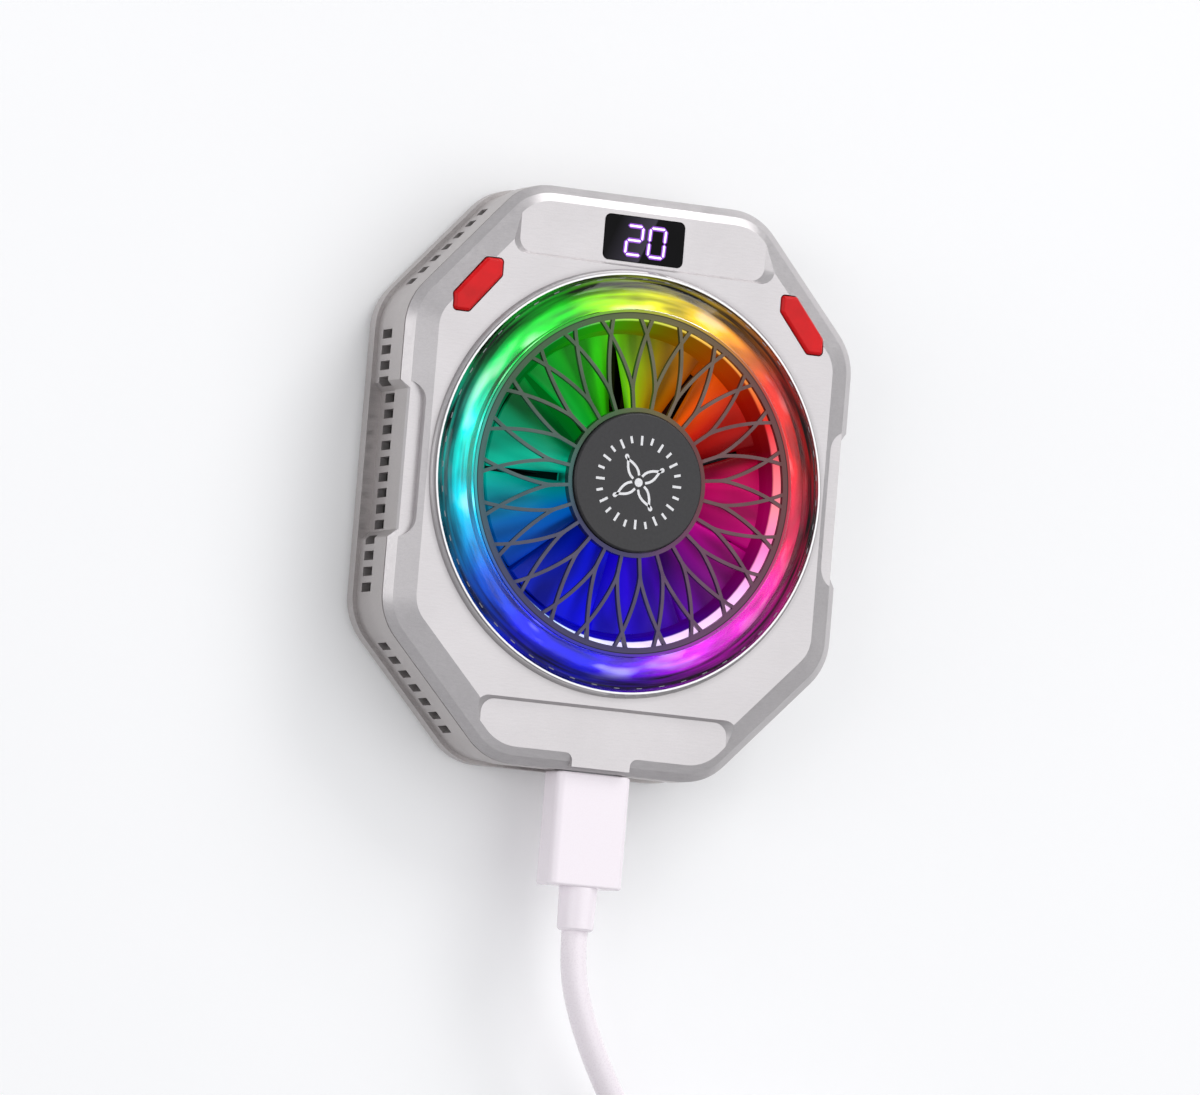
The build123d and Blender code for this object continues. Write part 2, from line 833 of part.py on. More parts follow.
def light_ring():
    """Make the clear domed ring round the fan guard."""
    inner_height = guard_collar_height - seat_clearance
    outer = ring_outer_radius
    inner = ring_inner_radius
    flange_low = face_underside - ring_flange_thickness
    middle = ((outer + inner) / 2, (ring_rim_height + inner_height) / 2 + ring_crown)
    rim = ring_rim_height - ring_wall / 2
    profile = Polyline((inner, inner_height - ring_wall), (inner, inner_height))
    profile += ThreePointArc((inner, inner_height), middle, (outer - ring_wall / 2, ring_rim_height))
    profile += RadiusArc((outer - ring_wall / 2, ring_rim_height), (outer, rim), ring_wall / 2)
    profile += Polyline(
        (outer, rim),
        (outer, flange_low + ring_flange_thickness),
        (ring_flange_radius, flange_low + ring_flange_thickness),
        (ring_flange_radius, flange_low),
        (outer - ring_wall, flange_low),
        (outer - ring_wall, ring_rim_height - ring_wall),
    )
    low_middle = (middle[0] - ring_wall / 2, middle[1] - ring_wall)
    profile += ThreePointArc((outer - ring_wall, ring_rim_height - ring_wall), low_middle,
                             (inner, inner_height - ring_wall))
    return revolve(Plane.XZ * make_face(profile), Axis.Z)


def light_guide():
    """Make the white ring that spreads the light of the LEDs."""
    low = board_top + led_height + seat_clearance
    high = low + guide_thickness
    guide = ring(guide_outer_radius, guide_inner_radius, low, high)
    foot = ring(guide_outer_radius, guide_outer_radius - guide_foot, board_top, low + guide_foot)
    return guide + foot


def rib_angle(radius):
    """Give a guard rib's angle from its stem at a radius, in degrees."""
    span_share = (radius - guard_hub_radius) / (guard_collar_inner - guard_hub_radius)
    past_share = max(span_share - guard_stem_share, 0)
    turn_share = math.hypot(past_share, guard_bend_share) - guard_bend_share
    half_pitch = 360 / guard_rib_count / 2
    return half_pitch * guard_turn_share * turn_share


def guard_rib(direction):
    """Make one flat curved rib of the guard, from its hub to its collar."""
    inner = cap_radius + 2 * seat_clearance
    outer = guard_collar_inner + guard_rib_width
    rows = []
    for index in range(guard_rib_steps + 1):
        radius = inner + (outer - inner) * index / guard_rib_steps
        rows.append(polar(radius, direction * rib_angle(radius)))
    left, right = [], []
    for index, (x, y) in enumerate(rows):
        x0, y0 = rows[max(index - 1, 0)]
        x1, y1 = rows[min(index + 1, guard_rib_steps)]
        length = math.hypot(x1 - x0, y1 - y0)
        side_x, side_y = (y0 - y1) / length, (x1 - x0) / length
        left.append((x + side_x * guard_rib_width / 2, y + side_y * guard_rib_width / 2))
        right.append((x - side_x * guard_rib_width / 2, y - side_y * guard_rib_width / 2))
    edges = Spline(*left) + Line(left[-1], right[-1]) + Spline(*right[::-1]) + Line(right[0], left[0])
    return make_face(edges)


def fan_guard():
    """Make the domed guard: a collar, a hub and 24 pairs of curved ribs."""
    pair = [guard_rib(1), guard_rib(-1)]
    ribs = []
    for index in range(guard_rib_count):
        turn = Rot(0, 0, guard_first_angle + index * 360 / guard_rib_count)
        ribs += [turn * rib for rib in pair]
    flat = Circle(guard_collar_inner + guard_rib_width) - Circle(guard_collar_inner)
    flat += Circle(guard_hub_radius) - Circle(cap_radius + seat_clearance)
    flat += ribs
    low, high = guard_collar_height - guard_thickness, guard_hub_height
    web = extrude(plane_at(low - overrun) * flat, high - low + 2 * overrun)
    outer = guard_collar_inner + guard_rib_width
    inner = cap_radius + seat_clearance
    middle = ((outer + inner) / 2, (guard_collar_height + high) / 2 + guard_dome)
    profile = ThreePointArc((inner, high), middle, (outer, guard_collar_height))
    profile += Polyline((outer, guard_collar_height), (outer, guard_collar_height - guard_thickness))
    low_middle = (middle[0], middle[1] - guard_thickness)
    low_edge = (outer, guard_collar_height - guard_thickness)
    profile += ThreePointArc(low_edge, low_middle, (inner, high - guard_thickness))
    profile += Polyline((inner, high - guard_thickness), (inner, high))
    guard = web & revolve(Plane.XZ * make_face(profile), Axis.Z)
    collar_low = guard_collar_height - guard_collar_thickness
    guard += ring(guard_collar_outer, guard_collar_inner, collar_low, guard_collar_height)
    floor = high + cap_proud - cap_thickness
    guard += ring(guard_hub_radius, cap_radius + seat_clearance, floor - guard_thickness, high)
    guard += disc(guard_hub_radius, floor - guard_thickness, floor)
    return guard


def hub_cap():
    """Make the dark cap in the middle of the guard."""
    top = guard_hub_height + cap_proud
    cap = disc(cap_radius, top - cap_thickness, top)
    return chamfer(cap.faces().sort_by(Axis.Z)[-1].edges(), cap_edge)


def main_board():
    """Make the octagonal circuit board round the duct."""
    board = octagon_prism(board_inset, board_height, board_top)
    board -= disc(board_hole_radius, board_height - overrun, board_top + overrun)
    for x, y in post_places():
        board -= disc(post_radius + seam_clearance, board_height - overrun, board_top + overrun, x, y)
    far = body_height / 2
    near = far - port_setback - port_length - seam_clearance
    board -= block(port_width + 2 * seam_clearance, far - near, board_height - overrun, board_top + overrun,
                   0, -(far + near) / 2)
    return board


def leds():
    """Make the ring of LEDs on the board."""
    pieces = []
    for index in range(led_count):
        turn = Rot(0, 0, (index + 0.5) * 360 / led_count)
        place = Pos(led_ring_radius, 0, board_top + led_height / 2)
        pieces.append(turn * place * Box(led_size, led_size, led_height))
    return Compound(children=pieces)


def board_parts():
    """Make the controller chip, the inductor and the capacitors on the board."""
    chip = block(chip_width, chip_length, board_top, board_top + chip_height, -chip_x, chip_y)
    coil = block(inductor_size, inductor_size, board_top, board_top + inductor_height, chip_x, chip_y)
    pieces = [chip, coil]
    y = -chip_y + capacitor_radius
    for index in (-1, 0, 1):
        x = chip_x + index * capacitor_pitch
        pieces.append(block(2 * capacitor_radius, capacitor_length, board_top, board_top + chip_height, x, y))
    return Compound(children=pieces)


def display_window():
    """Make the dark window over the digits."""
    top = pocket_floor + window_proud
    flat = RectangleRounded(window_width, window_length, window_corner - window_gap)
    return extrude(plane_at(top - window_thickness) * Pos(0, window_y) * flat, window_thickness)


def digit_display():
    """Make the digit module under the window."""
    width = window_width - 2 * digit_block_margin
    length = window_length - 2 * digit_block_margin
    top = pocket_floor + window_proud - window_thickness
    return block(width, length, board_top, top, 0, window_y)


def button(side):
    """Make a button, with the flange that keeps it in the cover."""
    top = face_height + button_proud
    flange_top_height = face_underside
    cap = extrude(plane_at(flange_top_height) * button_outline(0), top - flange_top_height)
    cap = chamfer(cap.faces().sort_by(Axis.Z)[-1].edges(), button_edge)
    low = flange_top_height - button_flange_thickness
    flange = extrude(plane_at(low) * button_outline(button_flange), button_flange_thickness)
    piece = cap + flange
    return piece if side > 0 else mirror(piece, Plane.YZ)


def button_centre(side):
    """Give the x and y of a button's middle."""
    return side * (button_inner_x + button_outer_x) / 2, (button_low_y + button_high_y) / 2


def plunger(side):
    """Make the plunger of the switch under a button."""
    x, y = button_centre(side)
    high = face_underside - button_flange_thickness
    return disc(plunger_radius, board_top + button_travel + plunger_sink, high, x, y)


def switches():
    """Make the bodies of the two switches on the board."""
    bodies = []
    for side in (-1, 1):
        x, y = button_centre(side)
        body = block(switch_size, switch_size, board_top, board_top + switch_height, x, y)
        bodies.append(body - disc(plunger_radius + seam_clearance, board_top - overrun,
                                  board_top + switch_height + overrun, x, y))
    return Compound(children=bodies)


def slot_prism(width, height, start, length):
    """Make a bar with round ends in section, from y = -start towards -Y."""
    face = Plane.XZ.offset(start) * Pos(0, port_axis) * SlotOverall(width, height)
    return extrude(face, length)


def usb_port():
    """Make the port's metal sleeve with its contact tongue."""
    start = body_height / 2 - port_setback - port_length
    sleeve = slot_prism(port_width, port_height, start, port_length)
    inner_width = port_width - 2 * port_wall
    inner_height = port_height - 2 * port_wall
    depth = port_length - port_wall * 2
    sleeve -= slot_prism(inner_width, inner_height, start + port_length - depth, depth + overrun)
    section = Rectangle(port_tongue_width, port_tongue_height)
    blade = Plane.XZ.offset(start + port_wall) * Pos(0, port_axis) * section
    return sleeve + extrude(blade, port_tongue_length + port_wall)


def plug_sleeve():
    """Make the plug's metal sleeve, which sits in the port."""
    start = plug_front - shell_length
    sleeve = slot_prism(shell_width, shell_height, start, shell_length)
    return sleeve - slot_prism(shell_cavity_width, shell_cavity_height, start - overrun, shell_length)


def plug_body():
    """Make the plug's moulded grip."""
    section = RectangleRounded(plug_width, plug_height, plug_corner)
    grip = extrude(Plane.XZ.offset(plug_front) * Pos(0, port_axis) * section, plug_length)
    ends = grip.faces().sort_by(Axis.Y)
    return fillet(ends[0].edges() + ends[-1].edges(), plug_edge)


def plug_relief():
    """Make the tapered strain relief behind the grip."""
    centre = relief_start + relief_length / 2
    place = Pos(0, -centre, port_axis) * Rot(90, 0, 0)
    relief = place * Cone(relief_radius, relief_end_radius, relief_length)
    return chamfer(relief.faces().sort_by(Axis.Y)[0].edges(), relief_edge)


def far_plug(piece):
    """Move a piece of the near plug to the far end of the lead."""
    return Pos(far_plug_x, far_plug_y + cord_start, far_plug_axis - port_axis) * piece


def route_radii(points, name):
    """Give the radius of each bend of a route, and print them."""
    radii = []
    for before, here, after in zip(points, points[1:], points[2:]):
        first, second = Vector(*here) - Vector(*before), Vector(*after) - Vector(*here)
        half_turn = math.radians(first.get_angle(second)) / 2
        radii.append(cord_bend_share * min(first.length, second.length) / math.tan(half_turn))
    print(name, "bend radii", [round(radius, 1) for radius in radii])
    return radii


def cord_stretch(points, name):
    """Make a stretch of the lead as straight runs joined by tangent arcs."""
    path = FilletPolyline(*points, radius=route_radii(points, name))
    start = Plane(origin=points[0], z_dir=path % 0)
    tube = sweep(start * Circle(cord_radius), path=path)
    section = math.pi * cord_radius ** 2
    print(name, "length", round(path.length, 1), "volume over section", round(tube.volume / section, 1))
    return tube


def half_turn(start, end, heading):
    """Join two points on a turn by two tangent arcs that leave along a heading."""
    middle = (start + end) / 2 + heading * ((end - start).length / 2)
    first = TangentArc(start, middle, tangent=heading)
    second = TangentArc(middle, end, tangent=(end - start))
    return [first, second]


def coil_path():
    """Lay out the coil: a spiral in, a climb on the innermost half turn, a spiral out."""
    across = Vector(1, 0, 0)
    radii = [coil_outer_radius - index * coil_pitch / 2 for index in range(2 * coil_turns_per_layer + 1)]
    y = coil_y + coil_outer_radius
    z = coil_height
    here = Vector(coil_x, y, z)
    edges = [Line(here - across * cord_diameter, here)]
    heading = across
    for index, radius in enumerate(radii + radii[-2::-1]):
        y += -2 * radius if index % 2 == 0 else 2 * radius
        if index == len(radii) - 1:
            z = coil_top_height
        there = Vector(coil_x, y, z)
        edges += half_turn(here, there, heading)
        here, heading = there, heading * -1
    edges.append(Line(here, here + heading * cord_diameter))
    return Wire([edge.edge() for edge in edges])


def cable_coil():
    """Make the lead's slack as one unbroken tube."""
    path = coil_path()
    start = Plane(origin=path @ 0, z_dir=path % 0)
    tube = sweep(start * Circle(cord_radius), path=path)
    report_coil(path, tube)
    return tube


def report_coil(path, tube):
    """Print the coil's length and its least gap to itself, measured on points."""
    length = path.length
    count = int(length / cord_radius)
    points = [path @ (index / count) for index in range(count + 1)]
    near_steps = int(2 * coil_pitch / (length / count)) + 1
    least = length
    for index, point in enumerate(points):
        for other in points[index + near_steps:]:
            if abs(point.Z - other.Z) < least and abs(point.X - other.X) < least:
                least = min(least, (point - other).length)
    print("coil length", round(length, 1), "least gap", round(least - cord_diameter, 2),
          "volume over section", round(tube.volume / (math.pi * cord_radius ** 2), 1))


def coil_ties():
    """Make the two ties round the coil's turns, left and right of its middle."""
    inner = coil_outer_radius - coil_turns_per_layer * coil_pitch
    half = (coil_outer_radius - inner) / 2 + cord_radius + tie_fit + coil_pitch / 4
    middle = (coil_outer_radius + inner) / 2 - coil_pitch / 4
    height = coil_top_height + cord_radius + tie_fit + tie_thickness
    ties = []
    for side in (-1, 1):
        x = coil_x + side * middle
        y = coil_y - coil_pitch / 4
        outer = block(2 * half + 2 * tie_thickness, tie_width, 0, height, x, y)
        room = block(2 * half, tie_width + overrun, tie_thickness, height - tie_thickness, x, y)
        edges = outer.edges().filter_by(Axis.Y)
        outer = fillet(edges, cord_radius)
        inside = fillet(room.edges().filter_by(Axis.Y), cord_radius - tie_thickness)
        ties.append(outer - inside)
    return Compound(children=ties)


nodes = {
    "front_cover": front_cover,
    "side_shell": side_shell,
    "back_plate": back_plate,
    "case_screws": case_screws,
    "contact_pad": contact_pad,
    "magnets": magnets,
    "magnet_yoke": magnet_yoke,
    "cold_plate": cold_plate,
    "module_ceramics": module_ceramics,
    "module_legs": module_legs,
    "heat_sink": heat_sink,
    "clamp_screws": clamp_screws,
    "fan_frame": fan_frame,
    "bearing": bearing,
    "stator": stator,
    "windings": windings,
    "impeller": impeller,
    "rotor_magnet": rotor_magnet,
    "fan_shaft": fan_shaft,
    "fan_duct": fan_duct,
    "light_ring": light_ring,
    "light_guide": light_guide,
    "fan_guard": fan_guard,
    "hub_cap": hub_cap,
    "main_board": main_board,
    "leds": leds,
    "board_parts": board_parts,
    "display_window": display_window,
    "digit_display": digit_display,
    "button_left": lambda: button(-1),
    "button_right": lambda: button(1),
    "plunger_left": lambda: plunger(-1),
    "plunger_right": lambda: plunger(1),
    "switches": switches,
    "usb_port": usb_port,
    "plug_sleeve": plug_sleeve,
    "plug_body": plug_body,
    "plug_relief": plug_relief,
    "cable": lambda: cord_stretch(cord_points, "cable"),
    "cable_coil": cable_coil,
    "cable_tail": lambda: cord_stretch(tail_points, "tail"),
    "coil_ties": coil_ties,
    "far_plug_relief": lambda: far_plug(plug_relief()),
    "far_plug_body": lambda: far_plug(plug_body()),
    "far_plug_sleeve": lambda: far_plug(plug_sleeve()),
}

os.makedirs("parts", exist_ok=True)
for name, make in nodes.items():
    export_step(make(), "parts/" + name + ".step")
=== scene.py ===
import json
import math

import bmesh
import bpy
from mathutils import Matrix, Vector


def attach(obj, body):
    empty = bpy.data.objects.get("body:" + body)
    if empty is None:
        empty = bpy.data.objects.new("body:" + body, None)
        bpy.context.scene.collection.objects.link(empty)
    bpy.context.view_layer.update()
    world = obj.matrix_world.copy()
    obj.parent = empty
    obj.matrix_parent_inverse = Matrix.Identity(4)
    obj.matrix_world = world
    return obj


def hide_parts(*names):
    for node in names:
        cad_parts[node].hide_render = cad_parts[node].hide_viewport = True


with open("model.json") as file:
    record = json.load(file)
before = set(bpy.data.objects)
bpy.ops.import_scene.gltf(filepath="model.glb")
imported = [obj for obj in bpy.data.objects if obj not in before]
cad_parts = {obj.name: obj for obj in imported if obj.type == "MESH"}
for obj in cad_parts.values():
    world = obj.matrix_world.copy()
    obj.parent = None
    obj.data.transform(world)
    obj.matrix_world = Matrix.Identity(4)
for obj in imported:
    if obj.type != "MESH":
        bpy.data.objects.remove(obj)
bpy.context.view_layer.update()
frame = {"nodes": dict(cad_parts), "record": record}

MM = 0.001

# Camera: a long lens above the display's left, turned as the photograph is
CAMERA_PLACE = Vector((-514.7, -105.1, 1158.1)) * MM
CAMERA_YAW = math.radians(-24.118)
CAMERA_TILT = math.radians(4.416)
CAMERA_ROLL = math.radians(4.721)
CAMERA_LENS = 300.0
CAMERA_SENSOR = 36.0
CAMERA_CLIP = (0.05, 10.0)

# Lead: the same route as in part.py
CORD_DIAMETER = 3.3 * MM
CORD_POINTS = [
    (0.0, -56.45, 10.4),
    (0.0, -60.8, 10.4),
    (1.7, -66.2, 9.9),
    (4.9, -71.9, 8.6),
    (9.2, -77.7, 6.6),
    (14.0, -81.9, 4.7),
    (19.6, -85.0, 3.1),
    (25.8, -86.2, 2.25),
    (32.0, -86.2, 2.25),
]
TAIL_POINTS = [
    (32.0, -141.0, 6.05),
    (23.5, -141.0, 6.05),
    (14.6, -139.2, 5.2),
    (6.8, -133.9, 3.9),
    (2.2, -126.6, 2.8),
    (0.4, -119.2, 2.6),
    (0.4, -112.0, 2.6),
]
COIL_CENTRE = (35.3, -113.6)
COIL_RADIUS = 27.4
COIL_PITCH = 3.8
COIL_TURNS = 4
COIL_LOW = 2.25
COIL_HIGH = 6.05
COIL_STEPS = 12
CORD_ROUNDNESS = 6
CORD_SMOOTHNESS = 8
CORD_ORDER = 3


def extent(node):
    """Give the low and high corners of a CAD node's box."""
    piece = frame["nodes"][node]
    corners = [piece.matrix_world @ Vector(corner) for corner in piece.bound_box]
    return [Vector([pick(values) for values in zip(*corners)]) for pick in (min, max)]


# Places that the looks take from the boxes of CAD nodes
WINDOW_LOW, WINDOW_HIGH = extent("display_window")
WINDOW_Y = (WINDOW_LOW.y + WINDOW_HIGH.y) / 2
CAP_TOP = extent("hub_cap")[1].z
DUCT_LIP_HEIGHT = extent("fan_duct")[1].z
GUIDE_OUTER = extent("light_guide")[1].x

# Rim of the ring and radii of the CAD that no box gives
RING_RADIUS = 26.15 * MM
RING_HEIGHT = 16.3 * MM
BEAD_OUTER = 26.55 * MM
GUIDE_INNER = 21.9 * MM
COLLAR_INNER = 20.7 * MM
GUARD_HUB_RADIUS = 9.45 * MM

# Radii and heights between which the painted light and shade change on their pieces
BEAD_SHADE = 27.7 * MM
BEAD_LOW = 15.6 * MM
COLLAR_LINE = 21.45 * MM
BLADE_LOW = 11.5 * MM
BLADE_HIGH = 16.0 * MM

# How far the light reaches down the duct's lip, and from which x - y to which it grows
LIP_REACH = (0.3 * MM, 1.2 * MM)
LIP_SPAN = (-2.0 * MM, 22.0 * MM)

# Painted reflection on the window, by x along a line that leans with y
SHEEN_LEAN = 0.4
SHEEN_START = -4.5 * MM
SHEEN_PEAK = 0.4 * MM
SHEEN_EDGE = (0.45 * MM, 0.65 * MM)

# Digits on the window, each with a wider halo under it
DIGIT_COLUMNS = (-1.4 * MM, 1.75 * MM)
DIGIT_ROW = WINDOW_Y - 0.15 * MM
DIGIT_HEIGHT = 3.9 * MM
DIGIT_WIDTH = 2.36 * MM
DIGIT_STROKE = 0.25 * MM
DIGIT_HALO = 0.62 * MM
DIGIT_SKEW = 0.05
DIGIT_TRIM = 0.55
INK_THICKNESS = 0.03 * MM

# Ticks round the rim of the clear ring, each a few degrees long
TICK_COUNT = 52
TICK_WIDTH = 0.09 * MM
TICK_SETBACK = 0.36 * MM
TICK_SPREAD = 1.6
TICK_THICKNESS = 0.05 * MM
TICK_DEPTH = 0.02 * MM

# Icon on the hub cap: leaf-shaped vanes, swept and widened by degrees, in a ring of marks
ICON_STROKE = 0.32 * MM
ICON_STEPS = 24
ICON_DOT = 0.55 * MM
VANE_COUNT = 4
VANE_START = 0.9 * MM
VANE_REACH = 2.9 * MM
VANE_FULLNESS = 0.8
VANE_SWEEP = 62
VANE_WIDTH = 14
MARK_COUNT = 24
MARK_OUTER = 5.9 * MM
MARK_SHORT = 5.0 * MM
MARK_LONG = 4.7 * MM

# Stage: half the floor's width in metres, its tones and lift, and the sky from horizon to zenith
FLOOR_REACH = 1.5
FLOOR_TONES = ((0.9, 0.9, 0.905, 1), (0.92, 0.92, 0.925, 1))
FLOOR_LIFT = 0.1
SKY_COLOUR = (0.96, 0.97, 1.0, 1)
SKY_HEIGHTS = (-0.05, 0.9)
SKY_STRENGTHS = (0.22, 0.64)

# Lamps as (name, direction from the object, width and length, power)
LAMP_DISTANCE = 1.65
LAMPS = [
    ("overhead", (0.5, 0.1, 0.9), (1.8, 1.8), 8.7),
    ("key", (0.4, 0.75, 0.52), (0.9, 0.75), 8.7),
    ("left", (-0.86, 0.1, 0.5), (0.6, 1.35), 4.5),
]

# How the edges of CAD pieces are found and rounded
WELD_DISTANCE = 0.001 * MM
FLAT_ANGLE = math.radians(0.6)
BEVEL_ANGLE = math.radians(18)
BEVEL_SEGMENTS = 2
BEVEL_PROFILE = 0.7
CREASE_ANGLE = math.radians(6)
CREASE_REACH = 0.01 * MM
SHARP_ANGLE = math.radians(34)


def linear(red, green, blue):
    """Turn a display colour of 0 to 255 into the renderer's linear one."""
    values = []
    for value in (red, green, blue):
        share = value / 255
        values.append(share / 12.92 if share <= 0.04045 else ((share + 0.055) / 1.055) ** 2.4)
    return (*values, 1.0)


# Display colours of the coloured light round the fan axis, by angle from +X: the ring, the duct's lip and
# the blades
RING_COLOURS = [
    (-180, (10, 246, 236)), (-165, (0, 212, 246)), (-145, (0, 105, 240)), (-125, (5, 20, 240)),
    (-98, (10, 0, 236)), (-80, (105, 0, 238)), (-60, (220, 0, 230)), (-38, (246, 5, 195)),
    (-15, (248, 16, 100)), (10, (243, 8, 28)), (38, (248, 45, 18)), (58, (252, 165, 30)),
    (80, (250, 230, 16)), (98, (190, 238, 10)), (116, (20, 232, 20)), (136, (0, 216, 64)),
    (150, (10, 200, 110)), (165, (0, 243, 210)), (180, (10, 246, 236)),
]
LIP_COLOURS = [
    (-180, (110, 236, 238)), (-145, (90, 205, 252)), (-110, (212, 226, 255)), (-75, (236, 216, 255)),
    (-40, (255, 196, 250)), (-18, (255, 130, 200)), (-3, (255, 145, 160)), (28, (226, 40, 40)),
    (68, (250, 200, 88)), (92, (180, 224, 80)), (115, (40, 180, 80)), (142, (20, 120, 80)),
    (162, (110, 222, 190)), (180, (110, 236, 238)),
]
BLADE_COLOURS = [
    (-180, (0, 195, 165)), (-158, (0, 105, 185)), (-138, (0, 35, 165)), (-100, (15, 5, 250)),
    (-78, (48, 0, 228)), (-48, (108, 0, 142)), (-25, (165, 0, 120)), (-5, (225, 0, 120)),
    (18, (150, 0, 18)), (38, (212, 30, 5)), (52, (232, 82, 0)), (80, (160, 140, 0)),
    (106, (55, 222, 15)), (128, (0, 165, 35)), (152, (0, 125, 62)), (180, (0, 195, 165)),
]


class Recipe:
    """A material with its node tree and shader, and short calls to wire it."""

    def __init__(self, name):
        self.material = bpy.data.materials.new(name)
        self.material.use_nodes = True
        self.tree = self.material.node_tree
        self.shader = self.tree.nodes["Principled BSDF"]

    def set(self, **values):
        """Set sockets of the shader, named with _ in place of a space."""
        for key, value in values.items():
            self.shader.inputs[key.replace("_", " ")].default_value = value
        return self

    def node(self, kind, **settings):
        """Add a node of a kind."""
        node = self.tree.nodes.new("ShaderNode" + kind)
        for key, value in settings.items():
            setattr(node, key, value)
        return node

    def link(self, output, target):
        """Link an output to a node's socket."""
        self.tree.links.new(output, target)

    def feed(self, name, output):
        """Link an output to one of the shader's own sockets."""
        self.link(output, self.shader.inputs[name])

    def value(self, operation, first, second=None):
        """Add a maths node on a socket and a socket or number."""
        node = self.node("Math", operation=operation)
        for index, item in enumerate((first, second)):
            if item is None:
                continue
            if isinstance(item, (int, float)):
                node.inputs[index].default_value = item
            else:
                self.link(item, node.inputs[index])
        return node.outputs[0]

    def noise(self, scale, detail=3.0, stretch=None):
        """Add noise in object space, with a scale in cells to the metre."""
        coordinates = self.node("TexCoord").outputs["Object"]
        if stretch:
            mapping = self.node("Mapping")
            mapping.inputs["Scale"].default_value = stretch
            self.link(coordinates, mapping.inputs["Vector"])
            coordinates = mapping.outputs["Vector"]
        noise = self.node("TexNoise")
        noise.inputs["Scale"].default_value = scale
        noise.inputs["Detail"].default_value = detail
        noise.inputs["Roughness"].default_value = 0.55
        self.link(coordinates, noise.inputs["Vector"])
        return noise.outputs["Fac"]

    def span(self, value, low, high, start=0.35, end=0.65):
        """Map a value between start and end to one between low and high."""
        node = self.node("MapRange")
        node.inputs["From Min"].default_value = start
        node.inputs["From Max"].default_value = end
        node.inputs["To Min"].default_value = low
        node.inputs["To Max"].default_value = high
        self.link(value, node.inputs["Value"])
        return node.outputs["Result"]

    def ramp(self, value, stops):
        """Map a value through a ramp of (place, colour) stops."""
        ramp = self.node("ValToRGB")
        elements = ramp.color_ramp.elements
        while len(elements) < len(stops):
            elements.new(0.5)
        for element, (place, colour) in zip(elements, stops):
            element.position = place
            element.color = colour
        self.link(value, ramp.inputs["Fac"])
        return ramp.outputs["Color"]

    def tones(self, value, dark, light):
        """Turn a noise value into a colour between two display colours."""
        return self.ramp(value, [(0.3, linear(*dark)), (0.7, linear(*light))])

    def bump(self, height, strength, distance):
        """Add fine relief to the surface."""
        node = self.node("Bump")
        node.inputs["Strength"].default_value = strength
        node.inputs["Distance"].default_value = distance
        self.link(height, node.inputs["Height"])
        self.feed("Normal", node.outputs["Normal"])

    def place(self):
        """Give the x, y and z of the surface point."""
        split = self.node("SeparateXYZ")
        self.link(self.node("NewGeometry").outputs["Position"], split.inputs["Vector"])
        return split.outputs

    def round_axis(self, stops):
        """Colour by the angle round the fan axis."""
        x, y, height = self.place()
        turn = self.value("ARCTAN2", y, x)
        share = self.value("ADD", self.value("DIVIDE", turn, 2 * math.pi), 0.5)
        return self.ramp(share, [((angle + 180) / 360, linear(*colour)) for angle, colour in stops])

    def radius(self):
        """Give the distance from the fan axis."""
        x, y, height = self.place()
        squares = self.value("ADD", self.value("MULTIPLY", x, x), self.value("MULTIPLY", y, y))
        return self.value("SQRT", squares)

    def round_noise(self, along, across, detail=3.0):
        """Add noise drawn out round the fan axis, in cells to the radian and to the metre."""
        x, y, height = self.place()
        reach = self.radius()
        join = self.node("CombineXYZ")
        self.link(self.value("MULTIPLY", self.value("DIVIDE", x, reach), along), join.inputs[0])
        self.link(self.value("MULTIPLY", self.value("DIVIDE", y, reach), along), join.inputs[1])
        self.link(self.value("MULTIPLY", reach, across), join.inputs[2])
        noise = self.node("TexNoise")
        noise.inputs["Scale"].default_value = 1.0
        noise.inputs["Detail"].default_value = detail
        self.link(join.outputs["Vector"], noise.inputs["Vector"])
        return noise.outputs["Fac"]

    def scaled(self, colour, share):
        """Multiply a colour by a share, where 1 keeps it and 0 makes it black."""
        grey = self.mix(share, (0, 0, 0, 1), (1, 1, 1, 1))
        return self.mix(1.0, colour, grey, blend="MULTIPLY")

    def mix(self, share, first, second, blend="MIX"):
        """Mix two colours by a share, each of the three a socket or a constant."""
        node = self.node("Mix", data_type="RGBA", blend_type=blend)
        for socket, item in ((0, share), (6, first), (7, second)):
            if hasattr(item, "is_output"):
                self.link(item, node.inputs[socket])
            else:
                node.inputs[socket].default_value = item
        return node.outputs[2]


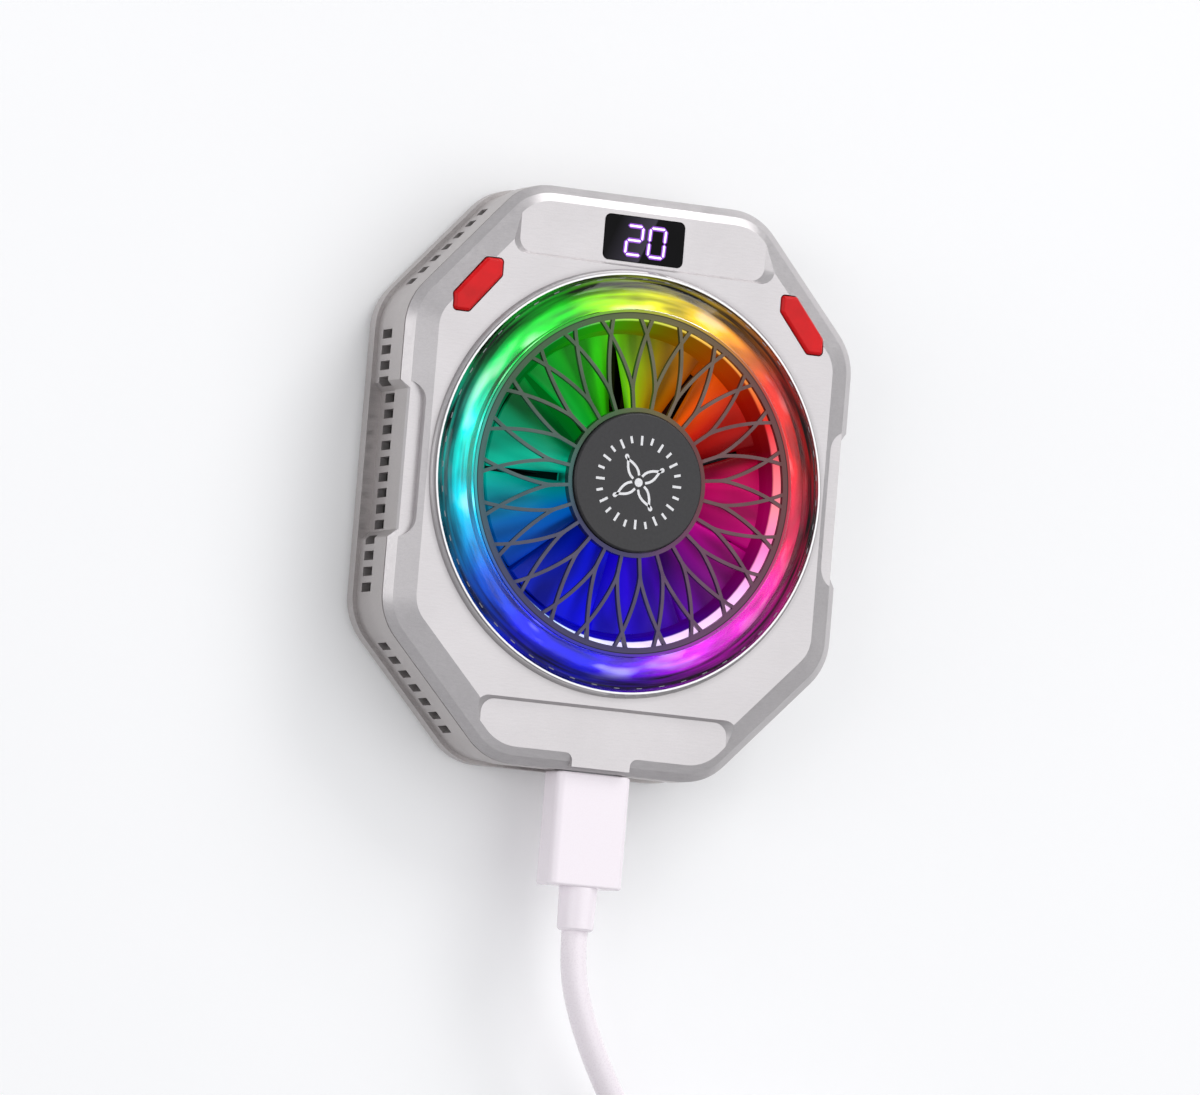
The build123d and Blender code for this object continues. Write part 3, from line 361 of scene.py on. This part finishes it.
def metallic_plastic(name, light, dark, roughness=0.36, bead=False):
    """Pale plastic with metal flakes and faint streaks, and where asked for, painted shade on the bead's
    outer flank and a painted highlight on its top.
    """
    recipe = Recipe(name).set(Metallic=0.65)
    flakes = recipe.noise(9000.0, detail=2.0)
    streaks = recipe.noise(700.0, detail=5.0, stretch=(1.0, 6.0, 6.0))
    clouds = recipe.noise(90.0, detail=4.0)
    tone = recipe.value("MULTIPLY", recipe.value("ADD", flakes, streaks), 0.35)
    tone = recipe.value("ADD", tone, recipe.value("MULTIPLY", clouds, 0.3))
    colour = recipe.ramp(tone, [(0.35, linear(*dark)), (0.62, linear(*light))])
    if bead:
        reach, height = recipe.radius(), recipe.place()[2]
        # Painted shade on the bead's outer flank, fading out towards the face
        bead_foot_shade = recipe.span(reach, 0.35, 0.0, start=BEAD_OUTER, end=BEAD_SHADE)
        colour = recipe.mix(bead_foot_shade, colour, linear(96, 92, 95))
        # Painted highlight: a near-white line along the top of the bead
        inside = recipe.span(reach, 1.0, 0.0, start=BEAD_OUTER - 0.06 * MM, end=BEAD_OUTER)
        above = recipe.span(height, 0.0, 1.0, start=BEAD_LOW, end=BEAD_LOW + 0.1 * MM)
        bead_highlight = recipe.value("MULTIPLY", inside, above)
        colour = recipe.mix(bead_highlight, colour, linear(240, 240, 240))
    recipe.feed("Base Color", colour)
    recipe.feed("Roughness", recipe.span(streaks, roughness - 0.06, roughness + 0.08))
    recipe.bump(flakes, 0.12, 0.02 * MM)
    return recipe.material


def plain_plastic(name, light, dark, roughness, grain=4000.0, bump=0.15, metallic=0.0):
    """Moulded plastic with a fine grain and slight variation in tone and gloss."""
    recipe = Recipe(name).set(Metallic=metallic)
    fine = recipe.noise(grain, detail=2.0)
    broad = recipe.noise(grain * 0.6, detail=1.0)
    recipe.feed("Base Color", recipe.tones(broad, dark, light))
    recipe.feed("Roughness", recipe.span(broad, roughness - 0.05, roughness + 0.06))
    recipe.bump(fine, bump, 0.015 * MM)
    return recipe.material


def red_plastic():
    """Satin red plastic, a little brighter where it is worn smooth."""
    recipe = Recipe("button_red").set(Specular_IOR_Level=0.25)
    broad = recipe.noise(300.0, detail=4.0)
    recipe.feed("Base Color", recipe.tones(broad, (202, 6, 12), (228, 14, 22)))
    recipe.feed("Roughness", recipe.span(broad, 0.34, 0.44))
    recipe.bump(recipe.noise(5000.0, detail=2.0), 0.1, 0.015 * MM)
    return recipe.material


def brushed_metal(name, light, dark, roughness, stretch=(1.0, 30.0, 30.0)):
    """Brushed or ground metal with fine streaks."""
    recipe = Recipe(name).set(Metallic=1.0)
    streaks = recipe.noise(400.0, detail=6.0, stretch=stretch)
    recipe.feed("Base Color", recipe.tones(streaks, dark, light))
    recipe.feed("Roughness", recipe.span(streaks, roughness - 0.08, roughness + 0.1))
    recipe.bump(streaks, 0.1, 0.01 * MM)
    return recipe.material


def clear_ring():
    """Clear plastic with painted streaks of the guide's light glowing in it, and a painted shade tint
    outside the guide.
    """
    recipe = Recipe("clear_ring").set(IOR=1.33, Transmission_Weight=1.0, Emission_Strength=0.42,
                                      Specular_IOR_Level=0.14)
    hue = recipe.round_axis(RING_COLOURS)
    # Painted shade: the tint darkens outside the guide, where the dark inside shows through
    ring_outer_shade = recipe.span(recipe.radius(), 0.0, 1.0,
                        start=GUIDE_OUTER - 0.7 * MM, end=GUIDE_OUTER + 0.1 * MM)
    tint = recipe.mix(ring_outer_shade, linear(240, 242, 246), linear(88, 84, 90))
    recipe.feed("Base Color", tint)
    # Painted light: streaks of the guide's colours glow on the clear plastic
    streaks = recipe.span(recipe.round_noise(3.0, 2200.0, detail=1.0), 0.0, 0.7, start=0.42, end=0.72)
    recipe.feed("Emission Color", recipe.scaled(hue, streaks))
    waves = recipe.noise(400.0, detail=2.0)
    recipe.feed("Roughness", recipe.span(waves, 0.03, 0.08))
    recipe.bump(waves, 0.1, 0.05 * MM)
    return recipe.material


def lit_guide():
    """The milky ring that the lamps light in turn through all colours."""
    recipe = Recipe("lit_guide").set(Roughness=0.5, Emission_Strength=1.15, Specular_IOR_Level=0.1)
    hue = recipe.round_axis(RING_COLOURS)
    cloud = recipe.round_noise(3.5, 500.0, detail=1.5)
    patches = recipe.span(cloud, 0.25, 1.0, start=0.36, end=0.58)
    hue = recipe.mix(recipe.span(cloud, 0.0, 0.35, start=0.55, end=0.72), hue, (1, 1, 1, 1))
    fade = recipe.span(recipe.radius(), 1.0, 0.35, start=GUIDE_INNER + 1.5 * MM, end=GUIDE_OUTER)
    recipe.feed("Base Color", recipe.scaled(hue, 0.5))
    recipe.feed("Emission Color", recipe.scaled(hue, recipe.value("MULTIPLY", patches, fade)))
    return recipe.material


def lit_duct():
    """The white wall round the impeller with painted coloured light: bright at its flared mouth, reaching
    deeper on one side, dim below, and tinting the wall's own colour too.
    """
    recipe = Recipe("lit_duct").set(Roughness=0.5, Emission_Strength=0.9, Specular_IOR_Level=0.15)
    hue = recipe.round_axis(LIP_COLOURS)
    x, y, z = recipe.place()
    depth = recipe.span(recipe.value("SUBTRACT", x, y), *LIP_REACH, *LIP_SPAN)
    lit = recipe.span(recipe.value("ADD", z, depth), 0.0, 1.0,
                      start=DUCT_LIP_HEIGHT, end=DUCT_LIP_HEIGHT + 0.25 * MM)
    # Painted dim coloured light lower down, also put into the base colour below
    low = recipe.scaled(recipe.round_axis(BLADE_COLOURS), 0.35)
    wall = recipe.mix(lit, low, hue)
    recipe.feed("Base Color", recipe.scaled(wall, 0.6))
    recipe.feed("Emission Color", wall)
    recipe.bump(recipe.noise(3000.0), 0.1, 0.01 * MM)
    return recipe.material


def lit_blades():
    """Milky blades with the lamps' coloured light painted on as base colour and glow, brighter towards the
    top as painted light, with patches of painted shade.
    """
    recipe = Recipe("lit_blades").set(Roughness=0.42, Emission_Strength=1.0, Specular_IOR_Level=0.12)
    hue = recipe.round_axis(BLADE_COLOURS)
    # Painted light: the glow grows from the blades' lower edge up to their top
    height = recipe.span(recipe.place()[2], 0.06, 1.0, start=BLADE_LOW, end=BLADE_HIGH)
    # Painted shade: dark patches drawn out along the radius dim the glow
    clouds = recipe.span(recipe.round_noise(5.0, 70.0, detail=1.0), 0.22, 1.0, start=0.38, end=0.58)
    recipe.feed("Base Color", recipe.scaled(hue, 0.4))
    recipe.feed("Emission Color", recipe.scaled(hue, recipe.value("MULTIPLY", height, clouds)))
    recipe.bump(recipe.noise(2500.0), 0.08, 0.01 * MM)
    return recipe.material


def guard_plastic():
    """Satin grey guard with painted coloured light: a faint tint on the ribs, more on the darker collar and
    hub rim, and a thin line of painted shade at the collar's step.
    """
    recipe = Recipe("guard_grey").set(Metallic=0.5)
    cloud = recipe.noise(200.0)
    grey = recipe.tones(cloud, (60, 56, 58), (84, 79, 80))
    hue = recipe.round_axis(RING_COLOURS)
    # Painted light: a faint share of the ring's colours on the ribs, more on the collar
    grey = recipe.mix(0.06, grey, hue)
    reach = recipe.radius()
    step = recipe.span(reach, 0.08, 0.4, start=COLLAR_LINE, end=COLLAR_LINE + 0.08 * MM)
    shade = recipe.mix(step, linear(62, 58, 58), hue)
    away = recipe.value("ABSOLUTE", recipe.value("SUBTRACT", reach, COLLAR_LINE))
    # Painted shade: a thin near-black line at the collar's step
    groove_shade = recipe.span(away, 0.9, 0.0, start=0.04 * MM, end=0.09 * MM)
    shade = recipe.mix(groove_shade, shade, linear(14, 12, 14))
    outer = recipe.span(reach, 0.0, 1.0, start=COLLAR_INNER - 0.5 * MM, end=COLLAR_INNER)
    inner = recipe.span(reach, 1.0, 0.0, start=GUARD_HUB_RADIUS, end=GUARD_HUB_RADIUS + 0.3 * MM)
    recipe.feed("Base Color", recipe.mix(recipe.value("MAXIMUM", outer, inner), grey, shade))
    recipe.feed("Roughness", recipe.span(cloud, 0.26, 0.36))
    recipe.bump(recipe.noise(4000.0, detail=2.0), 0.1, 0.015 * MM)
    return recipe.material


def glow(name, colour, strength):
    """A small lit face with a slightly uneven glow."""
    recipe = Recipe(name).set(Roughness=0.4, Emission_Strength=strength)
    uneven = recipe.noise(1500.0)
    tint = recipe.tones(uneven, [int(0.88 * part) for part in colour], colour)
    recipe.feed("Base Color", tint)
    recipe.feed("Emission Color", tint)
    return recipe.material


def black_window():
    """Smoked window, with a painted grey reflection that grows from the left up to a slanted line."""
    recipe = Recipe("window_black").set(Specular_IOR_Level=0.08)
    haze = recipe.noise(400.0)
    black = recipe.tones(haze, (2, 2, 3), (6, 5, 8))
    x, y, z = recipe.place()
    lean = recipe.value("MULTIPLY", recipe.value("SUBTRACT", y, WINDOW_Y), SHEEN_LEAN)
    slant = recipe.value("SUBTRACT", x, lean)
    # Painted reflection: grey rising from the left, cut off at the slanted line
    rise = recipe.span(slant, 0.0, 1.0, start=SHEEN_START, end=SHEEN_PEAK)
    fall = recipe.span(slant, 1.0, 0.0, *SHEEN_EDGE)
    sheen = recipe.value("MULTIPLY", rise, fall)
    recipe.feed("Base Color", recipe.mix(sheen, black, linear(62, 58, 70)))
    recipe.feed("Roughness", recipe.span(haze, 0.06, 0.12))
    return recipe.material


def woven_strip():
    """Woven hook-and-loop strip."""
    recipe = Recipe("woven_strip").set(Sheen_Weight=0.3, Roughness=0.85)
    coordinates = recipe.node("TexCoord").outputs["Object"]
    weave = recipe.node("TexWave", wave_type="BANDS", bands_direction="Y")
    weave.inputs["Scale"].default_value = 900.0
    weave.inputs["Distortion"].default_value = 1.5
    recipe.link(coordinates, weave.inputs["Vector"])
    threads = weave.outputs["Fac"]
    colour = recipe.ramp(threads, [(0.2, linear(168, 170, 176)), (0.8, linear(208, 210, 214))])
    recipe.feed("Base Color", colour)
    recipe.bump(threads, 0.4, 0.05 * MM)
    return recipe.material


def circuit_board():
    """Solder mask over faint traces."""
    recipe = Recipe("circuit_board").set(Roughness=0.3)
    traces = recipe.node("TexVoronoi", distance="MANHATTAN", feature="DISTANCE_TO_EDGE")
    traces.inputs["Scale"].default_value = 450.0
    recipe.link(recipe.node("TexCoord").outputs["Object"], traces.inputs["Vector"])
    edge = traces.outputs["Distance"]
    colour = recipe.ramp(edge, [(0.04, linear(30, 92, 62)), (0.08, linear(10, 58, 38))])
    recipe.feed("Base Color", colour)
    recipe.bump(edge, 0.1, 0.02 * MM)
    return recipe.material


def make_materials():
    """Make each material once, by name."""
    return {
        "cover": metallic_plastic("cover_silver", (210, 206, 207), (194, 190, 191), bead=True),
        "shell": metallic_plastic("shell_silver", (196, 191, 190), (176, 171, 170)),
        "back": plain_plastic("back_grey", (176, 172, 170), (160, 156, 154), 0.5),
        "pad": plain_plastic("pad_silicone", (52, 52, 55), (40, 40, 42), 0.75, grain=6000.0, bump=0.3),
        "red": red_plastic(),
        "guard": guard_plastic(),
        "cap": plain_plastic("cap_grey", (46, 45, 47), (36, 35, 37), 0.4, metallic=0.1),
        "ring": clear_ring(),
        "guide": lit_guide(),
        "duct": lit_duct(),
        "blades": lit_blades(),
        "window": black_window(),
        "digit_glow": glow("digit_pale", (250, 226, 255), 1.0),
        "halo_glow": glow("digit_halo", (122, 58, 176), 0.8),
        "led_glow": glow("led_white", (235, 235, 245), 2.0),
        "icon": plain_plastic("icon_white", (240, 240, 242), (228, 228, 230), 0.5),
        "tick": plain_plastic("tick_pale", (140, 140, 146), (120, 120, 126), 0.35),
        "black": plain_plastic("moulded_black", (30, 30, 32), (18, 18, 20), 0.5),
        "white": plain_plastic("plug_white", (255, 247, 253), (253, 244, 250), 0.2, grain=9000.0, bump=0.04),
        "cord": plain_plastic("cord_white", (255, 247, 252), (252, 243, 249), 0.3, grain=9000.0, bump=0.06),
        "ceramic": plain_plastic("ceramic_white", (232, 232, 226), (220, 220, 214), 0.6),
        "anodised": brushed_metal("aluminium_dark", (64, 66, 70), (44, 46, 50), 0.4),
        "aluminium": brushed_metal("aluminium_brushed", (206, 208, 212), (176, 178, 182), 0.32),
        "steel": brushed_metal("steel_ground", (176, 176, 180), (140, 140, 144), 0.3),
        "nickel": brushed_metal("nickel_plate", (188, 188, 190), (158, 158, 160), 0.26, (1.0, 1.0, 1.0)),
        "copper": brushed_metal("copper_wire", (200, 118, 72), (160, 84, 46), 0.35),
        "bronze": brushed_metal("bronze_sintered", (190, 150, 92), (150, 114, 66), 0.45, (1.0, 1.0, 1.0)),
        "woven": woven_strip(),
        "board": circuit_board(),
    }


NODE_MATERIALS = {
    "front_cover": "cover", "side_shell": "shell", "back_plate": "back", "case_screws": "steel",
    "contact_pad": "pad", "magnets": "nickel", "magnet_yoke": "steel", "cold_plate": "aluminium",
    "module_ceramics": "ceramic", "module_legs": "steel", "heat_sink": "anodised", "clamp_screws": "steel",
    # The fan frame wears the duct's painted coloured light as well
    "fan_frame": "duct", "bearing": "bronze", "stator": "steel", "windings": "copper",
    "impeller": "blades", "rotor_magnet": "black", "fan_shaft": "steel", "fan_duct": "duct",
    "light_ring": "ring", "light_guide": "guide", "fan_guard": "guard", "hub_cap": "cap",
    "main_board": "board", "leds": "led_glow", "board_parts": "black", "display_window": "window",
    "digit_display": "black", "button_left": "red", "button_right": "red", "plunger_left": "black",
    "plunger_right": "black", "switches": "steel", "usb_port": "steel", "plug_sleeve": "steel",
    "plug_body": "white", "plug_relief": "white", "cable": "cord", "cable_coil": "cord",
    "cable_tail": "cord", "coil_ties": "woven", "far_plug_relief": "white", "far_plug_body": "white",
    "far_plug_sleeve": "steel",
}

# CAD nodes shown with their edges rounded: bevel width in millimetres
SOFT_EDGES = {
    "front_cover": 0.16, "side_shell": 0.12, "back_plate": 0.12, "contact_pad": 0.2,
    "hub_cap": 0.08, "button_left": 0.12, "button_right": 0.12, "fan_guard": 0.15,
}

# Heights in millimetres of shallow level edges that are rounded as well
CREASES = {"front_cover": (13.65,)}


def dress(piece, material):
    """Give a piece one material."""
    piece.data.materials.clear()
    piece.data.materials.append(material)


def add_mesh(name, vertices, faces, material):
    """Make a mesh piece that rides on the housing."""
    mesh = bpy.data.meshes.new(name)
    mesh.from_pydata(vertices, [], faces)
    piece = bpy.data.objects.new(name, mesh)
    bpy.context.scene.collection.objects.link(piece)
    dress(piece, material)
    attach(piece, "housing")


def body_of_node(node):
    """Find the body that a CAD node belongs to."""
    bodies = frame["record"]["behaviour"]["bodies"]
    return next(body for body, members in bodies.items() if node in members)


def follows_crease(edge, heights):
    """Tell whether an edge runs level at one of a few heights in millimetres."""
    return any(all(abs(vertex.co.z - height * MM) < CREASE_REACH for vertex in edge.verts)
               and edge.calc_face_angle(0.0) > CREASE_ANGLE for height in heights)


def soften(node, width, material):
    """Show a CAD node as a copy whose sharp edges are rounded."""
    source = frame["nodes"][node]
    mesh = source.data.copy()
    work = bmesh.new()
    work.from_mesh(mesh)
    bmesh.ops.remove_doubles(work, verts=work.verts, dist=WELD_DISTANCE)
    bmesh.ops.dissolve_limit(work, angle_limit=FLAT_ANGLE, verts=work.verts, edges=work.edges)
    sharp = [edge for edge in work.edges if edge.is_manifold
             and (edge.calc_face_angle(0.0) > BEVEL_ANGLE or follows_crease(edge, CREASES.get(node, ())))]
    bmesh.ops.bevel(work, geom=sharp, offset=width * MM, segments=BEVEL_SEGMENTS,
                    profile=BEVEL_PROFILE, affect="EDGES", clamp_overlap=True)
    work.to_mesh(mesh)
    work.free()
    mesh.shade_smooth()
    mesh.set_sharp_from_angle(angle=SHARP_ANGLE)
    piece = bpy.data.objects.new(node + "_finished", mesh)
    bpy.context.scene.collection.objects.link(piece)
    piece.modifiers.new("even_faces", "WEIGHTED_NORMAL").keep_sharp = True
    dress(piece, material)
    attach(piece, body_of_node(node))
    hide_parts(node)


def coil_points():
    """Work out the coil's turns: a spiral in, a climb, and a spiral out."""
    radii = [COIL_RADIUS - index * COIL_PITCH / 2 for index in range(2 * COIL_TURNS + 1)]
    radii += radii[-2::-1]
    climb = 2 * COIL_TURNS
    y = COIL_CENTRE[1] + COIL_RADIUS
    points = []
    for index, radius in enumerate(radii):
        side = 1 if index % 2 == 0 else -1
        for step in range(COIL_STEPS):
            share = (step + 0.5) / COIL_STEPS
            rise = min(max(index - climb + share, 0.0), 1.0)
            points.append((
                COIL_CENTRE[0] + side * radius * math.sin(math.pi * share),
                y - side * radius * (1 - math.cos(math.pi * share)),
                COIL_LOW + rise * (COIL_HIGH - COIL_LOW),
            ))
        y -= side * 2 * radius
    return points


def make_cord(material):
    """Make the whole lead as one smooth curve, from strain relief to far plug."""
    curve = bpy.data.curves.new("lead", "CURVE")
    curve.dimensions = "3D"
    curve.bevel_depth = CORD_DIAMETER / 2
    curve.bevel_resolution = CORD_ROUNDNESS
    curve.resolution_u = CORD_SMOOTHNESS
    curve.use_fill_caps = True
    route = CORD_POINTS + coil_points() + TAIL_POINTS
    spline = curve.splines.new("NURBS")
    spline.points.add(len(route) - 1)
    for point, place in zip(spline.points, route):
        point.co = (*(Vector(place) * MM), 1.0)
    spline.order_u = CORD_ORDER
    spline.use_endpoint_u = True
    cord = bpy.data.objects.new("lead", curve)
    bpy.context.scene.collection.objects.link(cord)
    curve.materials.append(material)
    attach(cord, "housing")
    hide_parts("cable", "cable_coil", "cable_tail")


def plate(outline, height, thickness):
    """Give the vertices and faces of a thin flat plate on an outline."""
    count = len(outline)
    vertices = [(x, y, height) for x, y in outline] + [(x, y, height + thickness) for x, y in outline]
    faces = [tuple(reversed(range(count))), tuple(range(count, 2 * count))]
    for index in range(count):
        following = (index + 1) % count
        faces.append((index, following, count + following, count + index))
    return vertices, faces


def join_plates(outlines, height, thickness):
    """Give the vertices and faces of several thin plates."""
    vertices, faces = [], []
    for outline in outlines:
        new_vertices, new_faces = plate(outline, height, thickness)
        shift = len(vertices)
        vertices += new_vertices
        faces += [tuple(index + shift for index in face) for face in new_faces]
    return vertices, faces


# Segments of a digit as (start, end) corners in a 1 x 2 cell, and which are lit
SEGMENTS = {
    "top": ((0, 2), (1, 2)), "upper_right": ((1, 2), (1, 1)), "lower_right": ((1, 1), (1, 0)),
    "bottom": ((0, 0), (1, 0)), "lower_left": ((0, 1), (0, 0)), "upper_left": ((0, 2), (0, 1)),
    "middle": ((0, 1), (1, 1)),
}
TWO = ("top", "upper_right", "middle", "lower_left", "bottom")
ZERO = ("top", "upper_right", "lower_right", "bottom", "lower_left", "upper_left")


def bar(start, end, stroke, trim):
    """Give the outline of a bar with pointed ends."""
    along = (end - start).normalized()
    across = Vector((-along.y, along.x)) * stroke / 2
    first, last = start + along * trim, end - along * trim
    point = along * stroke / 2
    return [first, first + point - across, last - point - across,
            last, last - point + across, first + point + across]


def make_digits(name, material, stroke, level):
    """Make the two lit digits on the window, with strokes of a width."""
    width, height = DIGIT_WIDTH - DIGIT_STROKE, DIGIT_HEIGHT - DIGIT_STROKE
    trim = DIGIT_STROKE * DIGIT_TRIM - (stroke - DIGIT_STROKE) / 2
    outlines = []
    for lit, column in zip((TWO, ZERO), DIGIT_COLUMNS):
        corner = Vector((column - width / 2, DIGIT_ROW - height / 2))
        for segment in lit:
            ends = []
            for across, up in SEGMENTS[segment]:
                lean = DIGIT_SKEW * (up - 1) * height / 2
                ends.append(corner + Vector((across * width + lean, up * height / 2)))
            outlines.append(bar(*ends, stroke, trim))
    vertices, faces = join_plates(outlines, WINDOW_HIGH.z + level * INK_THICKNESS, INK_THICKNESS)
    add_mesh(name, vertices, faces, material)


def stroke_path(points, width):
    """Give the outline of a bent stroke of even width."""
    left, right = [], []
    for index, point in enumerate(points):
        before = points[max(index - 1, 0)]
        after = points[min(index + 1, len(points) - 1)]
        along = (after - before).normalized()
        across = Vector((-along.y, along.x)) * width / 2
        left.append(point + across)
        right.append(point - across)
    return right + left[::-1]


def polar(radius, angle):
    """Give a flat point from its radius and its angle in degrees."""
    return Vector((math.cos(math.radians(angle)), math.sin(math.radians(angle)))) * radius


def make_icon(material):
    """Make the generic fan icon and its ring of marks on the hub cap."""
    outlines = []
    for index in range(MARK_COUNT):
        angle = 360 * index / MARK_COUNT
        inner = MARK_SHORT if index % 2 else MARK_LONG
        outlines.append(stroke_path([polar(inner, angle), polar(MARK_OUTER, angle)], ICON_STROKE))
    for index in range(VANE_COUNT):
        turn = 360 * index / VANE_COUNT
        loop = []
        for step in range(ICON_STEPS + 1):
            share = step / ICON_STEPS
            reach = VANE_START + VANE_REACH * math.sin(math.pi * share) ** VANE_FULLNESS
            swing = VANE_SWEEP * share + VANE_WIDTH * math.sin(2 * math.pi * share)
            loop.append(polar(reach, turn + swing))
        outlines.append(stroke_path(loop, ICON_STROKE))
    outlines.append([polar(ICON_DOT, 360 * step / ICON_STEPS) for step in range(ICON_STEPS)])
    vertices, faces = join_plates(outlines, CAP_TOP, INK_THICKNESS)
    add_mesh("hub_icon", vertices, faces, material)


def make_ring_ticks(material):
    """Make the pale ticks round the rim of the clear ring."""
    outlines = []
    inner = RING_RADIUS - TICK_SETBACK
    outer = inner + TICK_WIDTH
    for index in range(TICK_COUNT):
        start = 360 * index / TICK_COUNT
        end = start + TICK_SPREAD
        outlines.append([polar(inner, start), polar(outer, start), polar(outer, end), polar(inner, end)])
    vertices, faces = join_plates(outlines, RING_HEIGHT - TICK_DEPTH, TICK_THICKNESS)
    add_mesh("ring_ticks", vertices, faces, material)


def make_floor():
    """Make the pale floor, a little brighter where the camera sees it or its reflection."""
    corners = [(x * FLOOR_REACH, y * FLOOR_REACH, 0) for x, y in ((-1, -1), (1, -1), (1, 1), (-1, 1))]
    mesh = bpy.data.meshes.new("floor")
    mesh.from_pydata(corners, [], [(0, 1, 2, 3)])
    floor = bpy.data.objects.new("floor", mesh)
    bpy.context.scene.collection.objects.link(floor)
    recipe = Recipe("floor_pale").set(Roughness=0.9, Emission_Color=(1, 1, 1, 1))
    dim, bright = FLOOR_TONES
    recipe.feed("Base Color", recipe.ramp(recipe.noise(8.0), [(0.3, dim), (0.7, bright)]))
    path = recipe.node("LightPath").outputs
    seen = recipe.value("MAXIMUM", path["Is Camera Ray"], path["Is Glossy Ray"])
    seen = recipe.value("MAXIMUM", seen, path["Is Transmission Ray"])
    recipe.feed("Emission Strength", recipe.value("MULTIPLY", seen, FLOOR_LIFT))
    dress(floor, recipe.material)


def add_area(name, direction, size, power):
    """Add a soft rectangular lamp that shines on the object from a direction."""
    lamp = bpy.data.lights.new(name, "AREA")
    lamp.shape = "RECTANGLE"
    lamp.size, lamp.size_y = size
    lamp.energy = power
    piece = bpy.data.objects.new(name, lamp)
    away = Vector(direction).normalized()
    piece.location = away * LAMP_DISTANCE
    piece.rotation_euler = away.to_track_quat("Z", "Y").to_euler()
    bpy.context.scene.collection.objects.link(piece)


def make_light():
    """Light the object as a soft studio does: dim at the horizon and bright above."""
    for lamp in LAMPS:
        add_area(*lamp)
    world = bpy.data.worlds.new("studio")
    bpy.context.scene.world = world
    world.use_nodes = True
    tree = world.node_tree
    background = tree.nodes["Background"]
    background.inputs["Color"].default_value = SKY_COLOUR
    split = tree.nodes.new("ShaderNodeSeparateXYZ")
    tree.links.new(tree.nodes.new("ShaderNodeTexCoord").outputs["Generated"], split.inputs["Vector"])
    rise = tree.nodes.new("ShaderNodeMapRange")
    for ends, (low, high) in (("From", SKY_HEIGHTS), ("To", SKY_STRENGTHS)):
        rise.inputs[ends + " Min"].default_value = low
        rise.inputs[ends + " Max"].default_value = high
    tree.links.new(split.outputs["Z"], rise.inputs["Value"])
    tree.links.new(rise.outputs["Result"], background.inputs["Strength"])


def make_camera():
    """Place the camera as the photograph's was, from a fit to the housing."""
    lens = bpy.data.cameras.new("camera")
    lens.lens = CAMERA_LENS
    lens.sensor_width = CAMERA_SENSOR
    lens.clip_start, lens.clip_end = CAMERA_CLIP
    camera = bpy.data.objects.new("camera", lens)
    turn = Matrix.Rotation(CAMERA_YAW, 4, "Y") @ Matrix.Rotation(CAMERA_TILT, 4, "X")
    turn = turn @ Matrix.Rotation(CAMERA_ROLL, 4, "Z")
    camera.matrix_world = Matrix.Translation(CAMERA_PLACE) @ turn
    bpy.context.scene.collection.objects.link(camera)
    bpy.context.scene.camera = camera


make_camera()
make_light()
make_floor()
materials = make_materials()
for node, piece in frame["nodes"].items():
    dress(piece, materials[NODE_MATERIALS[node]])
for node, width in SOFT_EDGES.items():
    soften(node, width, materials[NODE_MATERIALS[node]])
make_cord(materials["cord"])
make_digits("digits_halo", materials["halo_glow"], DIGIT_HALO, 0)
make_digits("digits_lit", materials["digit_glow"], DIGIT_STROKE, 1)
make_icon(materials["icon"])
make_ring_ticks(materials["tick"])

bpy.context.scene.view_settings.view_transform = "Standard"
